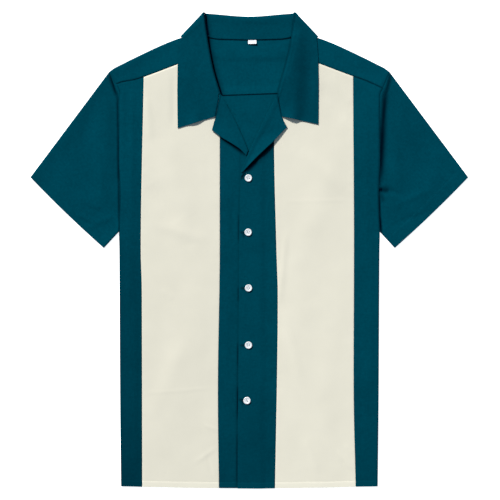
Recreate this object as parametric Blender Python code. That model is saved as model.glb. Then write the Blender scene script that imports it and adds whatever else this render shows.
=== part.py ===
"""A short-sleeved camp-collar shirt with two contrast front panels, laid flat on its back.

X runs across the shirt, Y from the hem to the collar, Z out of the surface it lies on. The origin is on
that surface, under the middle of the shirt. Sizes are in millimetres. Each piece is a wall of cloth: a
grid of points on the face that shows, thickened behind it. "Out" is the distance from the centre line,
and a side is +1 at +X and -1 at -X.
"""

import math
from collections import namedtuple

import bmesh
import bpy
from mathutils import Vector

MM = 0.001
WALL = 1.2
GAP = 0.3
# How much further than the gap a turned-out layer lies off what is under it.
LOOSE = 0.3
# A straight rim past the end of a curl, so that the wall ends square to it.
RIM = 0.4
# The height left between the two curled edges at a side.
SIDE_GAP = 0.6
UP = Vector((0.0, 0.0, 1.0))

# The underside of the fronts over the table, and how far layers step up over others.
FRONT_LEVEL = 2.0
LAP_STEP = 1.6
YOKE_STEP = 1.5
NECK_STEP = 1.6
LAP_RAMP = (17.0, 30.0)
NECK_RAMP_Y = (200.0, 330.0)
NECK_RAMP_OUT = (118.0, 178.0)

# The soft rise along a side, a shoulder or a sleeve where the cloth is folded.
EDGE_PUFF = 1.6
PUFF_REACH = 13.0
SHOULDER_PUFF_OUT = (124.0, 150.0)
FOLD_STEPS = 4

UNDERARM_Y = 31.5
CURL_RUN = 14.0
BACK_SEAM_Y = 265.0
BACK_HEM_RISE = 1.0

Outline = namedtuple("Outline", "y out")
Drop = namedtuple("Drop", "out y")
Curl = namedtuple("Curl", "angle rim flat_inset")
Fold = namedtuple("Fold", "x0 y0 x1 y1 reach height")
Lapel = namedtuple("Lapel", "roll_x roll_y edge_x edge_y radius turn lift")
Station = namedtuple("Station", "roll_x roll_y mid_x mid_y edge_x edge_y neck_x neck_y radius turn")
Column = namedtuple("Column", "seam_out fold_out front_out")
ButtonPlace = namedtuple("ButtonPlace", "x y")

# The side edge from hem to underarm, then the armhole up to the shoulder.
BODY_EDGE = (
    Outline(-404.0, 218.0),
    Outline(-250.0, 219.6),
    Outline(-60.0, 220.6),
    Outline(0.0, 221.2),
    Outline(UNDERARM_Y, 223.2),
    Outline(58.0, 220.9),
    Outline(90.0, 219.6),
    Outline(122.0, 220.6),
    Outline(154.0, 222.0),
    Outline(186.0, 222.0),
    Outline(218.0, 221.8),
    Outline(242.0, 222.0),
    Outline(BACK_SEAM_Y, 222.4),
    Outline(276.0, 227.3),
    Outline(301.5, 238.3),
)
SHOULDER_FOLD = (
    Drop(86.0, 373.0),
    Drop(116.0, 361.0),
    Drop(124.0, 358.6),
    Drop(202.0, 323.6),
    Drop(219.0, 314.4),
    Drop(230.0, 307.5),
    Drop(238.3, 301.5),
)
BACK_NECK = (
    Drop(0.0, 358.6),
    Drop(44.0, 359.6),
    Drop(66.0, 361.3),
    Drop(78.0, 366.5),
    Drop(86.0, 373.0),
)
FRONT_NECK = (
    Outline(263.0, 51.3),
    Outline(279.0, 56.0),
    Outline(299.0, 63.0),
    Outline(317.0, 70.0),
    Outline(334.0, 75.8),
    Outline(350.0, 80.0),
    Outline(363.0, 83.5),
    Outline(373.0, 86.0),
)
YOKE_SEAM = (
    Drop(75.8, 334.0),
    Drop(121.0, 316.5),
    Drop(178.5, 295.0),
    Drop(193.0, 290.0),
    Drop(208.0, 284.5),
    Drop(219.0, 280.0),
    Drop(227.3, 276.0),
)
CREAM_OUTER = {
    -1: (Outline(-404.0, 182.0), Outline(-66.0, 182.8), Outline(0.0, 184.5), Outline(296.0, 179.5)),
    1: (Outline(-404.0, 180.8), Outline(-220.0, 177.2), Outline(0.0, 177.9), Outline(296.0, 176.3)),
}
CREAM_INNER = {
    -1: (
        Outline(-404.0, 51.6),
        Outline(-240.0, 53.3),
        Outline(0.0, 50.2),
        Outline(187.0, 50.2),
        Outline(263.0, 51.5),
    ),
    1: (
        Outline(-404.0, 43.6),
        Outline(-80.0, 48.2),
        Outline(0.0, 46.0),
        Outline(187.0, 42.0),
        Outline(263.0, 51.5),
    ),
}
# How far each front reaches past the centre line: the one at +X is on top.
LAP_REACH = {
    -1: (Outline(-404.0, 15.0), Outline(126.0, 13.0)),
    1: (Outline(-404.0, 20.1), Outline(-253.0, 19.0), Outline(30.0, 17.0), Outline(126.0, 14.7)),
}
HEM_SIDE_Y = -400.6
HEM_SAG = {"back": 2.4, "front": 3.6, "band_left": 3.9, "band_right": 1.6}

# How a side edge curls: the angle turned, the straight rim past it, and the same column's inset in
# radii where the edge lies flat along the armhole.
CURLS = (
    Curl(0.0, 0.0, 1.0),
    Curl(45.0, 0.0, 0.6),
    Curl(90.0, 0.0, 0.3),
    Curl(90.0, RIM, 0.0),
)

# The largest soft folds of the fronts and sleeves, each a ridge between two points.
FOLDS = (
    Fold(-200.0, 190.0, -200.0, -390.0, 9.0, 1.3),
    Fold(-152.0, 190.0, -100.0, 10.0, 26.0, 1.9),
    Fold(-84.0, -60.0, -140.0, -330.0, 30.0, 1.7),
    Fold(152.0, 190.0, 104.0, 20.0, 28.0, 2.1),
    Fold(84.0, -30.0, 88.0, -280.0, 22.0, 1.5),
    Fold(146.0, -120.0, 112.0, -380.0, 28.0, 1.6),
    Fold(202.0, 60.0, 201.0, -300.0, 9.0, 0.9),
    Fold(-252.0, 235.0, -250.0, 70.0, 16.0, 2.6),
    Fold(-262.0, 60.0, -330.0, 130.0, 20.0, 1.8),
    Fold(249.0, 240.0, 248.0, 85.0, 15.0, 3.0),
    Fold(270.0, 55.0, 322.0, 150.0, 20.0, 1.7),
)
# Folds fade out towards the buttoned middle and under the turned-out collar.
FOLD_FADE_MIDDLE = (24.0, 60.0)
FOLD_FADE_Y = (180.0, 215.0)
FOLD_FADE_OUT = (128.0, 150.0)

# Rows of the body, up its edge: hem, underarm, back seam and front yoke seam are among them.
BODY_ROWS = (
    -404.0, -370.0, -332.0, -294.0, -256.0, -218.0, -180.0, -142.0, -104.0, -66.0, -28.0, 4.0,
    22.5, UNDERARM_Y, 58.0, 90.0, 122.0, 154.0, 186.0, 218.0, 242.0, BACK_SEAM_Y, 276.0,
)
SIDE_FRACTIONS = (0.0, 0.24, 0.48, 0.72)
CREAM_FRACTIONS = (0.0, 0.05, 0.1, 0.15, 0.195, 0.34, 0.5, 0.66, 0.83, 1.0)
BACK_FRACTIONS = (-0.75, -0.5, -0.25, 0.0, 0.25, 0.5, 0.75)
BAND_COLUMNS = {-1: (3.7, 9.7, 20.0, 34.0), 1: (-7.0, 5.0, 17.0, 30.0)}
SETTLE_ROUNDS = 4

SLEEVE_TIP = Vector((372.0, 124.3, 0.0))
SLEEVE_CORNER = Vector((247.0, 4.0, 0.0))
SLEEVE_STATIONS = (0.0, 0.06, 0.14, 0.26, 0.42, 0.58, 0.74, 0.88, 1.0)
SLEEVE_SEAM_RUN = 0.07

# Lapels, from the foot of the opening to the gorge seam: the roll line, the free edge, the radius and the
# angle of the roll, and how far the free edge stands off the front.
LAPELS = {
    -1: (
        Lapel(1.4, 168.5, 5.0, 160.2, 1.8, 180.0, 0.2),
        Lapel(7.0, 183.0, 16.0, 169.4, 2.2, 180.0, 1.0),
        Lapel(15.0, 201.5, 30.0, 179.0, 2.6, 180.0, 1.8),
        Lapel(24.0, 221.0, 48.5, 191.0, 3.0, 180.0, 1.8),
        Lapel(33.6, 239.0, 63.5, 204.0, 3.3, 180.0, 1.0),
        Lapel(40.6, 252.5, 60.4, 216.0, 3.4, 180.0, 0.6),
        Lapel(46.8, 265.0, 56.8, 227.0, 3.5, 180.0, 0.3),
    ),
    1: (
        Lapel(-14.7, 133.0, -12.4, 132.6, 1.5, 60.0, 0.1),
        Lapel(-10.0, 144.5, -4.0, 141.6, 1.6, 120.0, 1.0),
        Lapel(-2.4, 163.0, 11.0, 157.4, 2.0, 180.0, 3.0),
        Lapel(6.0, 182.0, 26.0, 171.6, 2.5, 180.0, 4.6),
        Lapel(16.0, 203.0, 42.0, 186.7, 3.0, 180.0, 4.6),
        Lapel(29.0, 230.0, 64.0, 209.5, 3.3, 180.0, 2.2),
        Lapel(39.0, 249.5, 59.0, 218.6, 3.4, 180.0, 0.9),
        Lapel(46.8, 265.0, 54.2, 227.2, 3.5, 180.0, 0.3),
    ),
}
LAPEL_FRACTIONS = (0.0, 0.2, 0.45, 0.7, 1.0)
ROLL_FADE = 45.0

# The collar, from its point up the front, over the shoulder and along the back to its middle. Turn is 180
# where the fall lies over the front and 0 where it lies under the back.
COLLAR = (
    Station(47.1, 265.5, 55.9, 227.6, 119.8, 210.8, 51.0, 263.2, 3.5, 180.0),
    Station(51.4, 281.0, 66.0, 256.0, 120.2, 238.0, 55.7, 279.0, 3.9, 180.0),
    Station(56.9, 300.0, 76.0, 284.0, 120.4, 268.0, 62.7, 299.0, 4.1, 180.0),
    Station(62.0, 318.0, 84.0, 308.0, 120.2, 296.0, 69.7, 317.0, 4.0, 180.0),
    Station(66.8, 337.0, 90.0, 330.0, 119.8, 318.0, 76.0, 336.0, 3.4, 180.0),
    Station(71.0, 361.0, 94.0, 351.0, 119.0, 338.0, 82.4, 360.0, 2.3, 180.0),
    Station(74.2, 384.0, 95.0, 368.0, 118.0, 352.0, 84.8, 369.5, 1.7, 180.0),
    Station(77.0, 404.7, 94.0, 386.5, 116.5, 362.5, 86.0, 373.0, 1.5, 180.0),
    Station(77.0, 404.7, 94.0, 386.5, 116.5, 362.5, 86.0, 373.0, 1.5, 135.0),
    Station(77.0, 404.7, 94.0, 386.5, 116.5, 362.5, 86.0, 373.0, 1.5, 90.0),
    Station(77.0, 404.7, 94.0, 386.5, 116.5, 362.5, 86.0, 373.0, 1.5, 45.0),
    Station(77.0, 404.7, 94.0, 386.5, 116.5, 362.5, 86.0, 373.0, 1.5, 0.0),
    Station(70.0, 402.4, 88.0, 374.0, 105.0, 354.4, 77.0, 366.0, 1.6, 0.0),
    Station(57.0, 400.3, 68.0, 366.0, 84.0, 342.4, 61.0, 361.0, 1.9, 0.0),
    Station(39.0, 398.2, 44.0, 364.0, 54.0, 335.8, 41.0, 359.6, 2.5, 0.0),
    Station(19.5, 396.2, 22.0, 362.0, 26.0, 334.4, 20.5, 359.1, 2.9, 0.0),
    Station(0.0, 395.4, 0.0, 361.0, 0.0, 334.2, 0.0, 358.6, 3.0, 0.0),
)
COLLAR_FLAT = [row for row in COLLAR if row.turn == 180.0]
# The stations at the collar's peak, where the fall is folded over the shoulder.
PEAK = [row for row in COLLAR if row.radius == 1.5]
COLLAR_EDGE_SHIFT = {-1: 1.8, 1: -1.7}
COLLAR_POINT_RISE = {-1: -3.3, 1: 3.2}
COLLAR_POINT_RUN = (260.0, 210.0)
COLLAR_NOTCH_SHIFT = {-1: 1.2, 1: -1.4}
FALL_FRACTIONS = (0.0, 0.14, 0.3, 0.46, 0.66, 0.82, 1.0)
FALL_MIDDLE = 0.66
STAND_FRACTIONS = (0.35, 0.7, 1.0)
SHOULDER_RADIUS = 3.3
NECK_TURN_RADIUS = 0.45
NECK_TURN_HEIGHT = 3.15
# How much the back of the roll leans out next to the peak, and how fast that fades to the middle.
BACK_ROLL_LEAN = 0.35
BACK_ROLL_FADE = 3
# Near its notch the collar's lower edge stands off the front: how far, where, and how wide.
COLLAR_LIFT = 2.6
COLLAR_LIFT_OUT = 84.0
COLLAR_LIFT_Y = 216.0
COLLAR_LIFT_REACH = 20.0

# The yoke steps up where it lies on the collar's back fall.
BACK_FALL_Y = 334.0
BACK_FALL_RISE = 29.0
BACK_FALL_OUT = 116.0
BACK_FALL_BEND = 4
YOKE_RAMP = 12.0
YOKE_RAMP_OUT = 131.0
YOKE_CLEAR = 3.2
# The yoke's columns across the neck, then those that run over the shoulder: where each meets the back
# seam, the shoulder fold and the front seam.
YOKE_NECK_COLUMNS = (0.0, 22.0, 44.0, 62.0, 76.0)
YOKE_COLUMNS = (
    Column(86.3, 86.3, 76.1),
    Column(99.0, 99.0, 91.0),
    Column(109.0, 110.0, 106.0),
    Column(116.5, 118.0, 120.0),
    Column(130.0, 132.0, 135.0),
    Column(152.0, 156.0, 158.0),
    Column(176.0, 182.0, 180.0),
    Column(197.0, 205.0, 201.0),
    Column(211.0, 223.0, 214.0),
    Column(222.4, 238.0, 227.3),
)
YOKE_WING_ROWS = (0.25, 0.5, 0.75, 1.0)
# The furthest up the yoke's back, as shares of it, that the step starts and ends.
YOKE_RAMP_SHARES = (0.66, 0.84)
NORMAL_STEP = 4.0

LABEL_SIZE = Vector((15.3, 7.5, 0.8))
LABEL_PLACE = (5.0, 354.2)
LABEL_TILT = 2.0

BUTTONS = (
    ButtonPlace(-1.6, 122.7),
    ButtonPlace(-2.0, 30.7),
    ButtonPlace(-1.4, -64.0),
    ButtonPlace(-1.4, -161.0),
    ButtonPlace(-4.0, -255.0),
)
BUTTON_RADIUS = 6.2
BUTTON_HEIGHT = 2.5
BUTTON_RIM = 1.5
BUTTON_DISH = 0.7
BUTTON_EDGE = 0.6
BUTTON_SIDES = 18
HOLE_RADIUS = 0.85
HOLE_PITCH = 2.9
HOLE_SIDES = 6
HOLE_CUT = 10.0
SHARP_ANGLE = 35.0
MERGE = 0.01

TEAL = ("teal_cotton", (0.003, 0.052, 0.08), 0.86)
CREAM = ("cream_cotton", (0.78, 0.76, 0.66), 0.88)
WHITE = ("white_label", (0.82, 0.84, 0.86), 0.8)
BUTTON = ("button_resin", (0.8, 0.82, 0.84), 0.35)


def blend(start, end, share):
    return start + (end - start) * share


def ease(low, high, value):
    """0 at low, 1 at high, and a smooth step between them."""
    share = min(max((value - low) / (high - low), 0.0), 1.0)
    return share * share * (3.0 - 2.0 * share)


def read(table, value):
    """The second column of a two-column table at a value of its first column."""
    for (low, start), (high, end) in zip(table, table[1:]):
        if value <= high:
            return blend(start, end, max((value - low) / (high - low), 0.0))
    return table[-1][1]


def distance_to_line(x, y, x0, y0, x1, y1):
    """The distance from a point to the straight line between two others."""
    along = Vector((x1 - x0, y1 - y0))
    share = Vector((x - x0, y - y0)).dot(along) / along.length_squared
    nearest = Vector((x0, y0)) + along * min(max(share, 0.0), 1.0)
    return (Vector((x, y)) - nearest).length


def distance_to_path(x, y, path):
    return min(distance_to_line(x, y, *start, *end) for start, end in zip(path, path[1:]))


def bump(away, reach):
    return math.exp(-((away / reach) ** 2))


def level_normal(start, end):
    """The level direction to the left of the way from one point to another."""
    along = Vector((end[0] - start[0], end[1] - start[1], 0.0)).normalized()
    return Vector((-along.y, along.x, 0.0))


def soft_folds(x, y):
    rise = 0.0
    for fold in FOLDS:
        away = distance_to_line(x, y, fold.x0, fold.y0, fold.x1, fold.y1)
        rise += fold.height * bump(away, fold.reach)
    near_collar = ease(*FOLD_FADE_Y, y) * (1.0 - ease(*FOLD_FADE_OUT, abs(x)))
    return rise * ease(*FOLD_FADE_MIDDLE, abs(x)) * (1.0 - near_collar)


def shoulder_puff(x, y):
    away = distance_to_path(abs(x), y, SHOULDER_FOLD)
    return EDGE_PUFF * bump(away, PUFF_REACH) * ease(*SHOULDER_PUFF_OUT, abs(x))


def curl(y):
    """0 along the armhole, where the edge lies flat, and 1 down the side, where it is folded."""
    return 1.0 - ease(UNDERARM_Y - CURL_RUN, UNDERARM_Y, y)


def side_puff(x, y):
    return EDGE_PUFF * bump(read(BODY_EDGE, y) - abs(x), PUFF_REACH) * curl(y)


def front_under(x, y):
    """The height of the underside of the fronts and of the yoke's front."""
    near_neck = ease(*NECK_RAMP_Y, y) * (1.0 - ease(*NECK_RAMP_OUT, abs(x)))
    level = FRONT_LEVEL + NECK_STEP * near_neck
    return level + soft_folds(x, y) + shoulder_puff(x, y) + side_puff(x, y)


def front_top(x, y):
    return front_under(x, y) + WALL


def lap_rise(side, out):
    """How far a band is lifted where it laps over the other one."""
    return LAP_STEP * (1.0 - ease(*LAP_RAMP, out)) if side > 0 else 0.0


def back_fall_edge(out):
    return BACK_FALL_Y + BACK_FALL_RISE * (min(out, BACK_FALL_OUT) / BACK_FALL_OUT) ** BACK_FALL_BEND


def yoke_under(x, y):
    """The height of the outer face of the yoke's back, which lies over the collar's back fall."""
    up = (y - back_fall_edge(abs(x)) + YOKE_RAMP + YOKE_CLEAR) / YOKE_RAMP
    inward = (YOKE_RAMP_OUT - abs(x)) / YOKE_RAMP
    return YOKE_STEP * min(max(min(up, inward), 0.0), 1.0)


# The line on which lapel and collar roll over, from the foot of the opening to the collar's peak.
ROLL_PATH = [(row.roll_x, row.roll_y) for row in LAPELS[1] + COLLAR[:len(COLLAR_FLAT)]]


def turned_top(side, out, y, radius):
    """The top of a turned-out layer: it lies on the front and rises to the roll."""
    away = max(distance_to_path(out, y, ROLL_PATH) - radius, 0.0)
    rise = (2.0 * (radius - WALL) - GAP - LOOSE) * max(1.0 - away / ROLL_FADE, 0.0) ** 2
    return front_top(side * out, y) + lap_rise(side, out) + GAP + LOOSE + WALL + rise


def side_name(name, side):
    return name + ("_right" if side > 0 else "_left")


def new_material(name, colour, roughness):
    material = bpy.data.materials.new(name)
    material.use_nodes = True
    shader = material.node_tree.nodes["Principled BSDF"]
    shader.inputs["Base Color"].default_value = (*colour, 1.0)
    shader.inputs["Roughness"].default_value = roughness
    shader.inputs["Metallic"].default_value = 0.0
    material.diffuse_color = (*colour, 1.0)
    return material


def place(mesh, name, parent):
    piece = bpy.data.objects.new(name, mesh)
    bpy.context.scene.collection.objects.link(piece)
    piece.parent = parent
    return piece


def wall(name, rows, material, parent, flipped=False, closed=False):
    """A wall of cloth behind a grid of points on its outer face. A missing point leaves its cells open."""
    mesh = bpy.data.meshes.new(name)
    shape = bmesh.new()
    grid = [[point and shape.verts.new(Vector(point) * MM) for point in row] for row in rows]
    for low, high in zip(grid, grid[1:]):
        for index in range(len(low) if closed else len(low) - 1):
            after = (index + 1) % len(low)
            corners = (low[index], low[after], high[after], high[index])
            if all(corners):
                shape.faces.new(reversed(corners) if flipped else corners)
    shape.to_mesh(mesh)
    shape.free()
    mesh.shade_smooth()
    mesh.materials.append(material)
    piece = place(mesh, name, parent)
    thickness = piece.modifiers.new("Cloth", "SOLIDIFY")
    thickness.thickness = WALL * MM
    thickness.offset = -1.0
    thickness.use_even_offset = True
    return piece


def column_height(level, hem, top, top_level=BACK_SEAM_Y):
    """A body row's height in a column with its own hem and top edge."""
    if level <= UNDERARM_Y:
        return blend(hem, UNDERARM_Y, (level - BODY_ROWS[0]) / (UNDERARM_Y - BODY_ROWS[0]))
    return blend(UNDERARM_Y, top, (level - UNDERARM_Y) / (top_level - UNDERARM_Y))


def hem_height(name, out):
    return HEM_SIDE_Y - HEM_SAG[name] * (1.0 - (out / BODY_EDGE[0].out) ** 2)


def roll_direction(rows, index):
    """The level direction that a roll faces at a station, square to its line."""
    before = rows[max(index - 1, 0)]
    after = rows[min(index + 1, len(rows) - 1)]
    return level_normal((before.roll_x, before.roll_y), (after.roll_x, after.roll_y))


def lapel_root(side, index):
    """Where the band ends behind its lapel's roll."""
    station = LAPELS[side][index]
    facing = roll_direction(LAPELS[side], index)
    return Vector((station.roll_x, station.roll_y, 0.0)) - facing * (station.radius + RIM + GAP)


def front_edge_height(side, out):
    """The top edge of the front: behind the lapel's roll, then along the neck and the yoke seam."""
    neck = [(row.out + GAP, row.y) for row in FRONT_NECK if row.y <= YOKE_SEAM[0].y]
    if out <= neck[0][0]:
        roots = [lapel_root(side, index) for index in range(len(LAPELS[side]))]
        return read([(root.x, root.y) for root in roots] + neck[:1], out)
    if out <= neck[-1][0]:
        return read(neck, out)
    return read(YOKE_SEAM, out) - GAP


def edge_columns(y, height, faces_up):
    """Points that end a panel at the body's edge: flat at the armhole, curled at the side."""
    edge = read(BODY_EDGE, y)
    radius = (height - SIDE_GAP) / 2.0 - RIM
    points = []
    for row in CURLS:
        angle = math.radians(row.angle)
        inset = radius * blend(row.flat_inset, 1.0 - math.sin(angle), curl(y))
        bent = (radius * (1.0 - math.cos(angle)) + row.rim) * curl(y)
        points.append((edge - inset, height - bent if faces_up else bent))
    return points


def make_back(parent, material):
    seam = BACK_SEAM_Y - GAP
    rows = []
    for level in BODY_ROWS[:-1]:
        side_y = column_height(level, HEM_SIDE_Y + BACK_HEM_RISE, seam)
        edge = edge_columns(side_y, FRONT_LEVEL + WALL + EDGE_PUFF, faces_up=False)
        middle = [(edge[0][0] * share, 0.0) for share in BACK_FRACTIONS]
        row = []
        for x, z in [(-out, z) for out, z in reversed(edge)] + middle + edge:
            hem = hem_height("back", abs(x)) + BACK_HEM_RISE
            row.append((x, column_height(level, hem, seam), z))
        rows.append(row)
    return wall("back", rows, material, parent, flipped=True)


def front_point(side, level, hem, out_at):
    """A point of a front panel on one body row. Its distance out depends on its height, so both settle."""
    y = level
    for _ in range(SETTLE_ROUNDS):
        out = out_at(y)
        y = column_height(level, hem_height(hem, abs(out)), front_edge_height(side, out), BODY_ROWS[-1])
    return Vector((side * out, y, front_top(side * out, y) + lap_rise(side, out)))


def make_side_front(side, parent, material):
    rows = []
    for level in BODY_ROWS:
        row = []
        for share in SIDE_FRACTIONS:
            row.append(front_point(
                side, level, "front",
                lambda y: blend(read(CREAM_OUTER[side], y) + GAP / 2.0, read(BODY_EDGE, y), share),
            ))
        y = column_height(level, HEM_SIDE_Y, YOKE_SEAM[-1].y - GAP, BODY_ROWS[-1])
        height = front_top(side * read(BODY_EDGE, y), y)
        row += [(side * out, y, z) for out, z in edge_columns(y, height, faces_up=True)]
        rows.append(row)
    return wall(side_name("side_front", side), rows, material, parent, flipped=side < 0)


def make_cream_panel(side, parent, material):
    rows = []
    for level in BODY_ROWS:
        row = []
        for share in CREAM_FRACTIONS:
            row.append(front_point(
                side, level, "front",
                lambda y: blend(read(CREAM_INNER[side], y), read(CREAM_OUTER[side], y) - GAP / 2.0, share),
            ))
        rows.append(row)
    return wall(side_name("cream_panel", side), rows, material, parent, flipped=side < 0)


def make_centre_band(side, parent, material):
    hem = side_name("band", side)
    rows = []
    for level in BODY_ROWS:
        row = [front_point(side, level, hem, lambda y: -read(LAP_REACH[side], y))]
        for column in BAND_COLUMNS[side]:
            row.append(front_point(side, level, hem, lambda y: column))
        row.append(front_point(side, level, hem, lambda y: read(CREAM_INNER[side], y) - GAP))
        rows.append(row)
    return wall(side_name("centre_band", side), rows, material, parent, flipped=side < 0)


def make_lapel(side, parent, material):
    """A turned-out facing: from its free edge up to the roll, then round it to the band's top edge."""
    rows = []
    for index, station in enumerate(LAPELS[side]):
        facing = roll_direction(LAPELS[side], index)
        edge = Vector((station.edge_x, station.edge_y, 0.0))
        root = Vector((station.roll_x, station.roll_y, 0.0)) - facing * station.radius
        row = []
        for share in LAPEL_FRACTIONS:
            spot = edge.lerp(root, share)
            spot.z = turned_top(side, spot.x, spot.y, station.radius) + station.lift * (1.0 - share) ** 2
            row.append(spot)
        centre = row[-1] - UP * station.radius
        for step in range(1, FOLD_STEPS + 1):
            angle = math.radians(station.turn) * step / FOLD_STEPS
            row.append(centre + (facing * math.sin(angle) + UP * math.cos(angle)) * station.radius)
        turned = math.radians(station.turn)
        row.append(row[-1] + (facing * math.cos(turned) - UP * math.sin(turned)) * RIM)
        rows.append([(side * point.x, point.y, point.z) for point in row])
    return wall(side_name("lapel", side), rows, material, parent, flipped=side > 0)


def fall_point(index, side, root, share):
    """A level point of the collar's fall, from its outer edge at 0 to the root of its roll at 1."""
    station = COLLAR[index]
    edge = Vector((station.edge_x, station.edge_y, 0.0))
    middle = Vector((station.mid_x, station.mid_y, 0.0))
    if station.turn == 180.0 and station not in PEAK:
        edge.x += COLLAR_EDGE_SHIFT[side]
        edge.y += COLLAR_POINT_RISE[side] * ease(*COLLAR_POINT_RUN, station.edge_y)
    if index == 0:
        middle.x += COLLAR_NOTCH_SHIFT[side]
    if share <= FALL_MIDDLE:
        return edge.lerp(middle, share / FALL_MIDDLE)
    return middle.lerp(root, (share - FALL_MIDDLE) / (1.0 - FALL_MIDDLE))


def collar_lift(out, y):
    away = math.hypot(out - COLLAR_LIFT_OUT, y - COLLAR_LIFT_Y)
    return COLLAR_LIFT * bump(away, COLLAR_LIFT_REACH)


def collar_facing(index):
    """The level direction that the collar's roll faces at a station."""
    station = COLLAR[index]
    fold = PEAK[0]
    past_peak = Vector((fold.roll_x - fold.edge_x, fold.roll_y - fold.edge_y, 0.0)).normalized()
    if station in PEAK:
        return past_peak
    if station.turn == 180.0:
        return roll_direction(COLLAR_FLAT, index)
    lean = BACK_ROLL_LEAN * (station.roll_x / fold.roll_x) ** BACK_ROLL_FADE
    return Vector((0.0, 1.0, 0.0)).lerp(past_peak, lean).normalized()


def collar_row(index, side):
    """One section of the collar: its fall from the outer edge, its roll, and its stand to the neck."""
    station = COLLAR[index]
    fold = PEAK[0]
    square = level_normal((fold.edge_x, fold.edge_y), (fold.roll_x, fold.roll_y)) * -1.0
    turn = math.radians(station.turn)
    fall_side = square * math.sin(turn) - UP * math.cos(turn)
    facing = collar_facing(index)
    root = Vector((station.roll_x, station.roll_y, 0.0)) - facing * station.radius
    row = []
    for share in FALL_FRACTIONS:
        spot = fall_point(index, side, root, share)
        if station in PEAK:
            spot += (fall_side - square + UP) * SHOULDER_RADIUS
        elif station.turn == 180.0:
            spot.z = turned_top(side, spot.x, spot.y, station.radius) + collar_lift(spot.x, spot.y)
        row.append(spot)
    centre = row[-1] - fall_side * station.radius
    for step in range(1, FOLD_STEPS + 1):
        angle = math.pi * step / FOLD_STEPS
        row.append(centre + (facing * math.sin(angle) + fall_side * math.cos(angle)) * station.radius)
    neck = Vector((station.neck_x, station.neck_y, YOKE_STEP + WALL))
    if station in PEAK:
        neck.z = NECK_TURN_HEIGHT
        neck += (fall_side - square) * NECK_TURN_RADIUS
    elif station.turn == 180.0:
        neck.z = front_under(neck.x, neck.y)
    stand = row[-1]
    row += [stand.lerp(neck, share) for share in STAND_FRACTIONS]
    return [(side * point.x, point.y, point.z) for point in row]


def make_collar(parent, material):
    left = [collar_row(index, -1) for index in range(len(COLLAR))]
    right = [collar_row(index, 1) for index in range(len(COLLAR) - 1)]
    return wall("collar", left + right[::-1], material, parent)


def yoke_back_points(column, top):
    """The yoke's back in one column, with rows where it steps up onto the collar's fall."""
    low = BACK_SEAM_Y
    last_start, last_end = (blend(low, top.y, share) for share in YOKE_RAMP_SHARES)
    ramp_end = min(back_fall_edge(top.x) - YOKE_CLEAR, last_end)
    ramp_start = min(ramp_end - YOKE_RAMP, last_start)
    heights = (low, (low + ramp_start) / 2.0, ramp_start, ramp_end, (ramp_end + top.y) / 2.0, top.y)
    points = []
    for y in heights:
        out = blend(column.seam_out, top.x, (y - low) / (top.y - low))
        if column is YOKE_COLUMNS[-1]:
            out = read(BODY_EDGE, y)
        points.append(Vector((out, y, yoke_under(out, y))))
    return points


def shoulder_normal(out):
    low = max(out - NORMAL_STEP, SHOULDER_FOLD[0].out)
    high = min(out + NORMAL_STEP, SHOULDER_FOLD[-1].out)
    return level_normal((low, read(SHOULDER_FOLD, low)), (high, read(SHOULDER_FOLD, high)))


def yoke_wing_points(column):
    """A column of the yoke from the back seam over the shoulder to the front seam."""
    fold = Vector((column.fold_out, read(SHOULDER_FOLD, column.fold_out), 0.0))
    if column is YOKE_COLUMNS[0]:
        fold.y -= GAP
    low = yoke_under(fold.x, fold.y)
    radius = (front_top(fold.x, fold.y) - low) / 2.0
    normal = shoulder_normal(column.fold_out)
    root = fold - normal * radius
    points = yoke_back_points(column, root)
    centre = root + UP * (low + radius)
    for step in range(1, FOLD_STEPS + 1):
        angle = math.pi * step / FOLD_STEPS
        points.append(centre + (normal * math.sin(angle) - UP * math.cos(angle)) * radius)
    for share in YOKE_WING_ROWS:
        y = blend(root.y, read(YOKE_SEAM, column.front_out), share)
        out = blend(root.x, column.front_out, share)
        if column is YOKE_COLUMNS[0]:
            out = read(FRONT_NECK, y) + GAP
        elif column is YOKE_COLUMNS[-1]:
            out = read(BODY_EDGE, y)
        points.append(Vector((out, y, front_top(out, y))))
    return points


def make_yoke(parent, material):
    half = []
    for out in YOKE_NECK_COLUMNS:
        top = Vector((out, read(BACK_NECK, out) - GAP, 0.0))
        half.append(yoke_back_points(Column(out, out, out), top))
    half += [yoke_wing_points(column) for column in YOKE_COLUMNS]
    longest = max(len(points) for points in half)
    columns = []
    for side, part in ((-1, half[:0:-1]), (1, half)):
        for points in part:
            filled = [(side * point.x, point.y, point.z) for point in points]
            columns.append(filled + [None] * (longest - len(filled)))
    return wall("yoke", columns, material, parent)


def armhole_point(across):
    """A level point on the armhole, from the shoulder at 0 to the underarm at 1."""
    y = blend(BODY_EDGE[-1].y, UNDERARM_Y, across)
    return Vector((read(BODY_EDGE, y) + GAP, y, 0.0))


def sleeve_point(along, across):
    return armhole_point(across).lerp(SLEEVE_TIP.lerp(SLEEVE_CORNER, across), along)


def sleeve_top(side, along, across):
    """The height of the sleeve's upper face. It is level with the front at the armhole."""
    spot = sleeve_point(along, across)
    length = (sleeve_point(along, 1.0) - sleeve_point(along, 0.0)).length
    puff = EDGE_PUFF * bump(min(across, 1.0 - across) * length, PUFF_REACH)
    return FRONT_LEVEL + WALL + puff + soft_folds(side * spot.x, spot.y) * ease(0.0, SLEEVE_SEAM_RUN, along)


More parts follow.
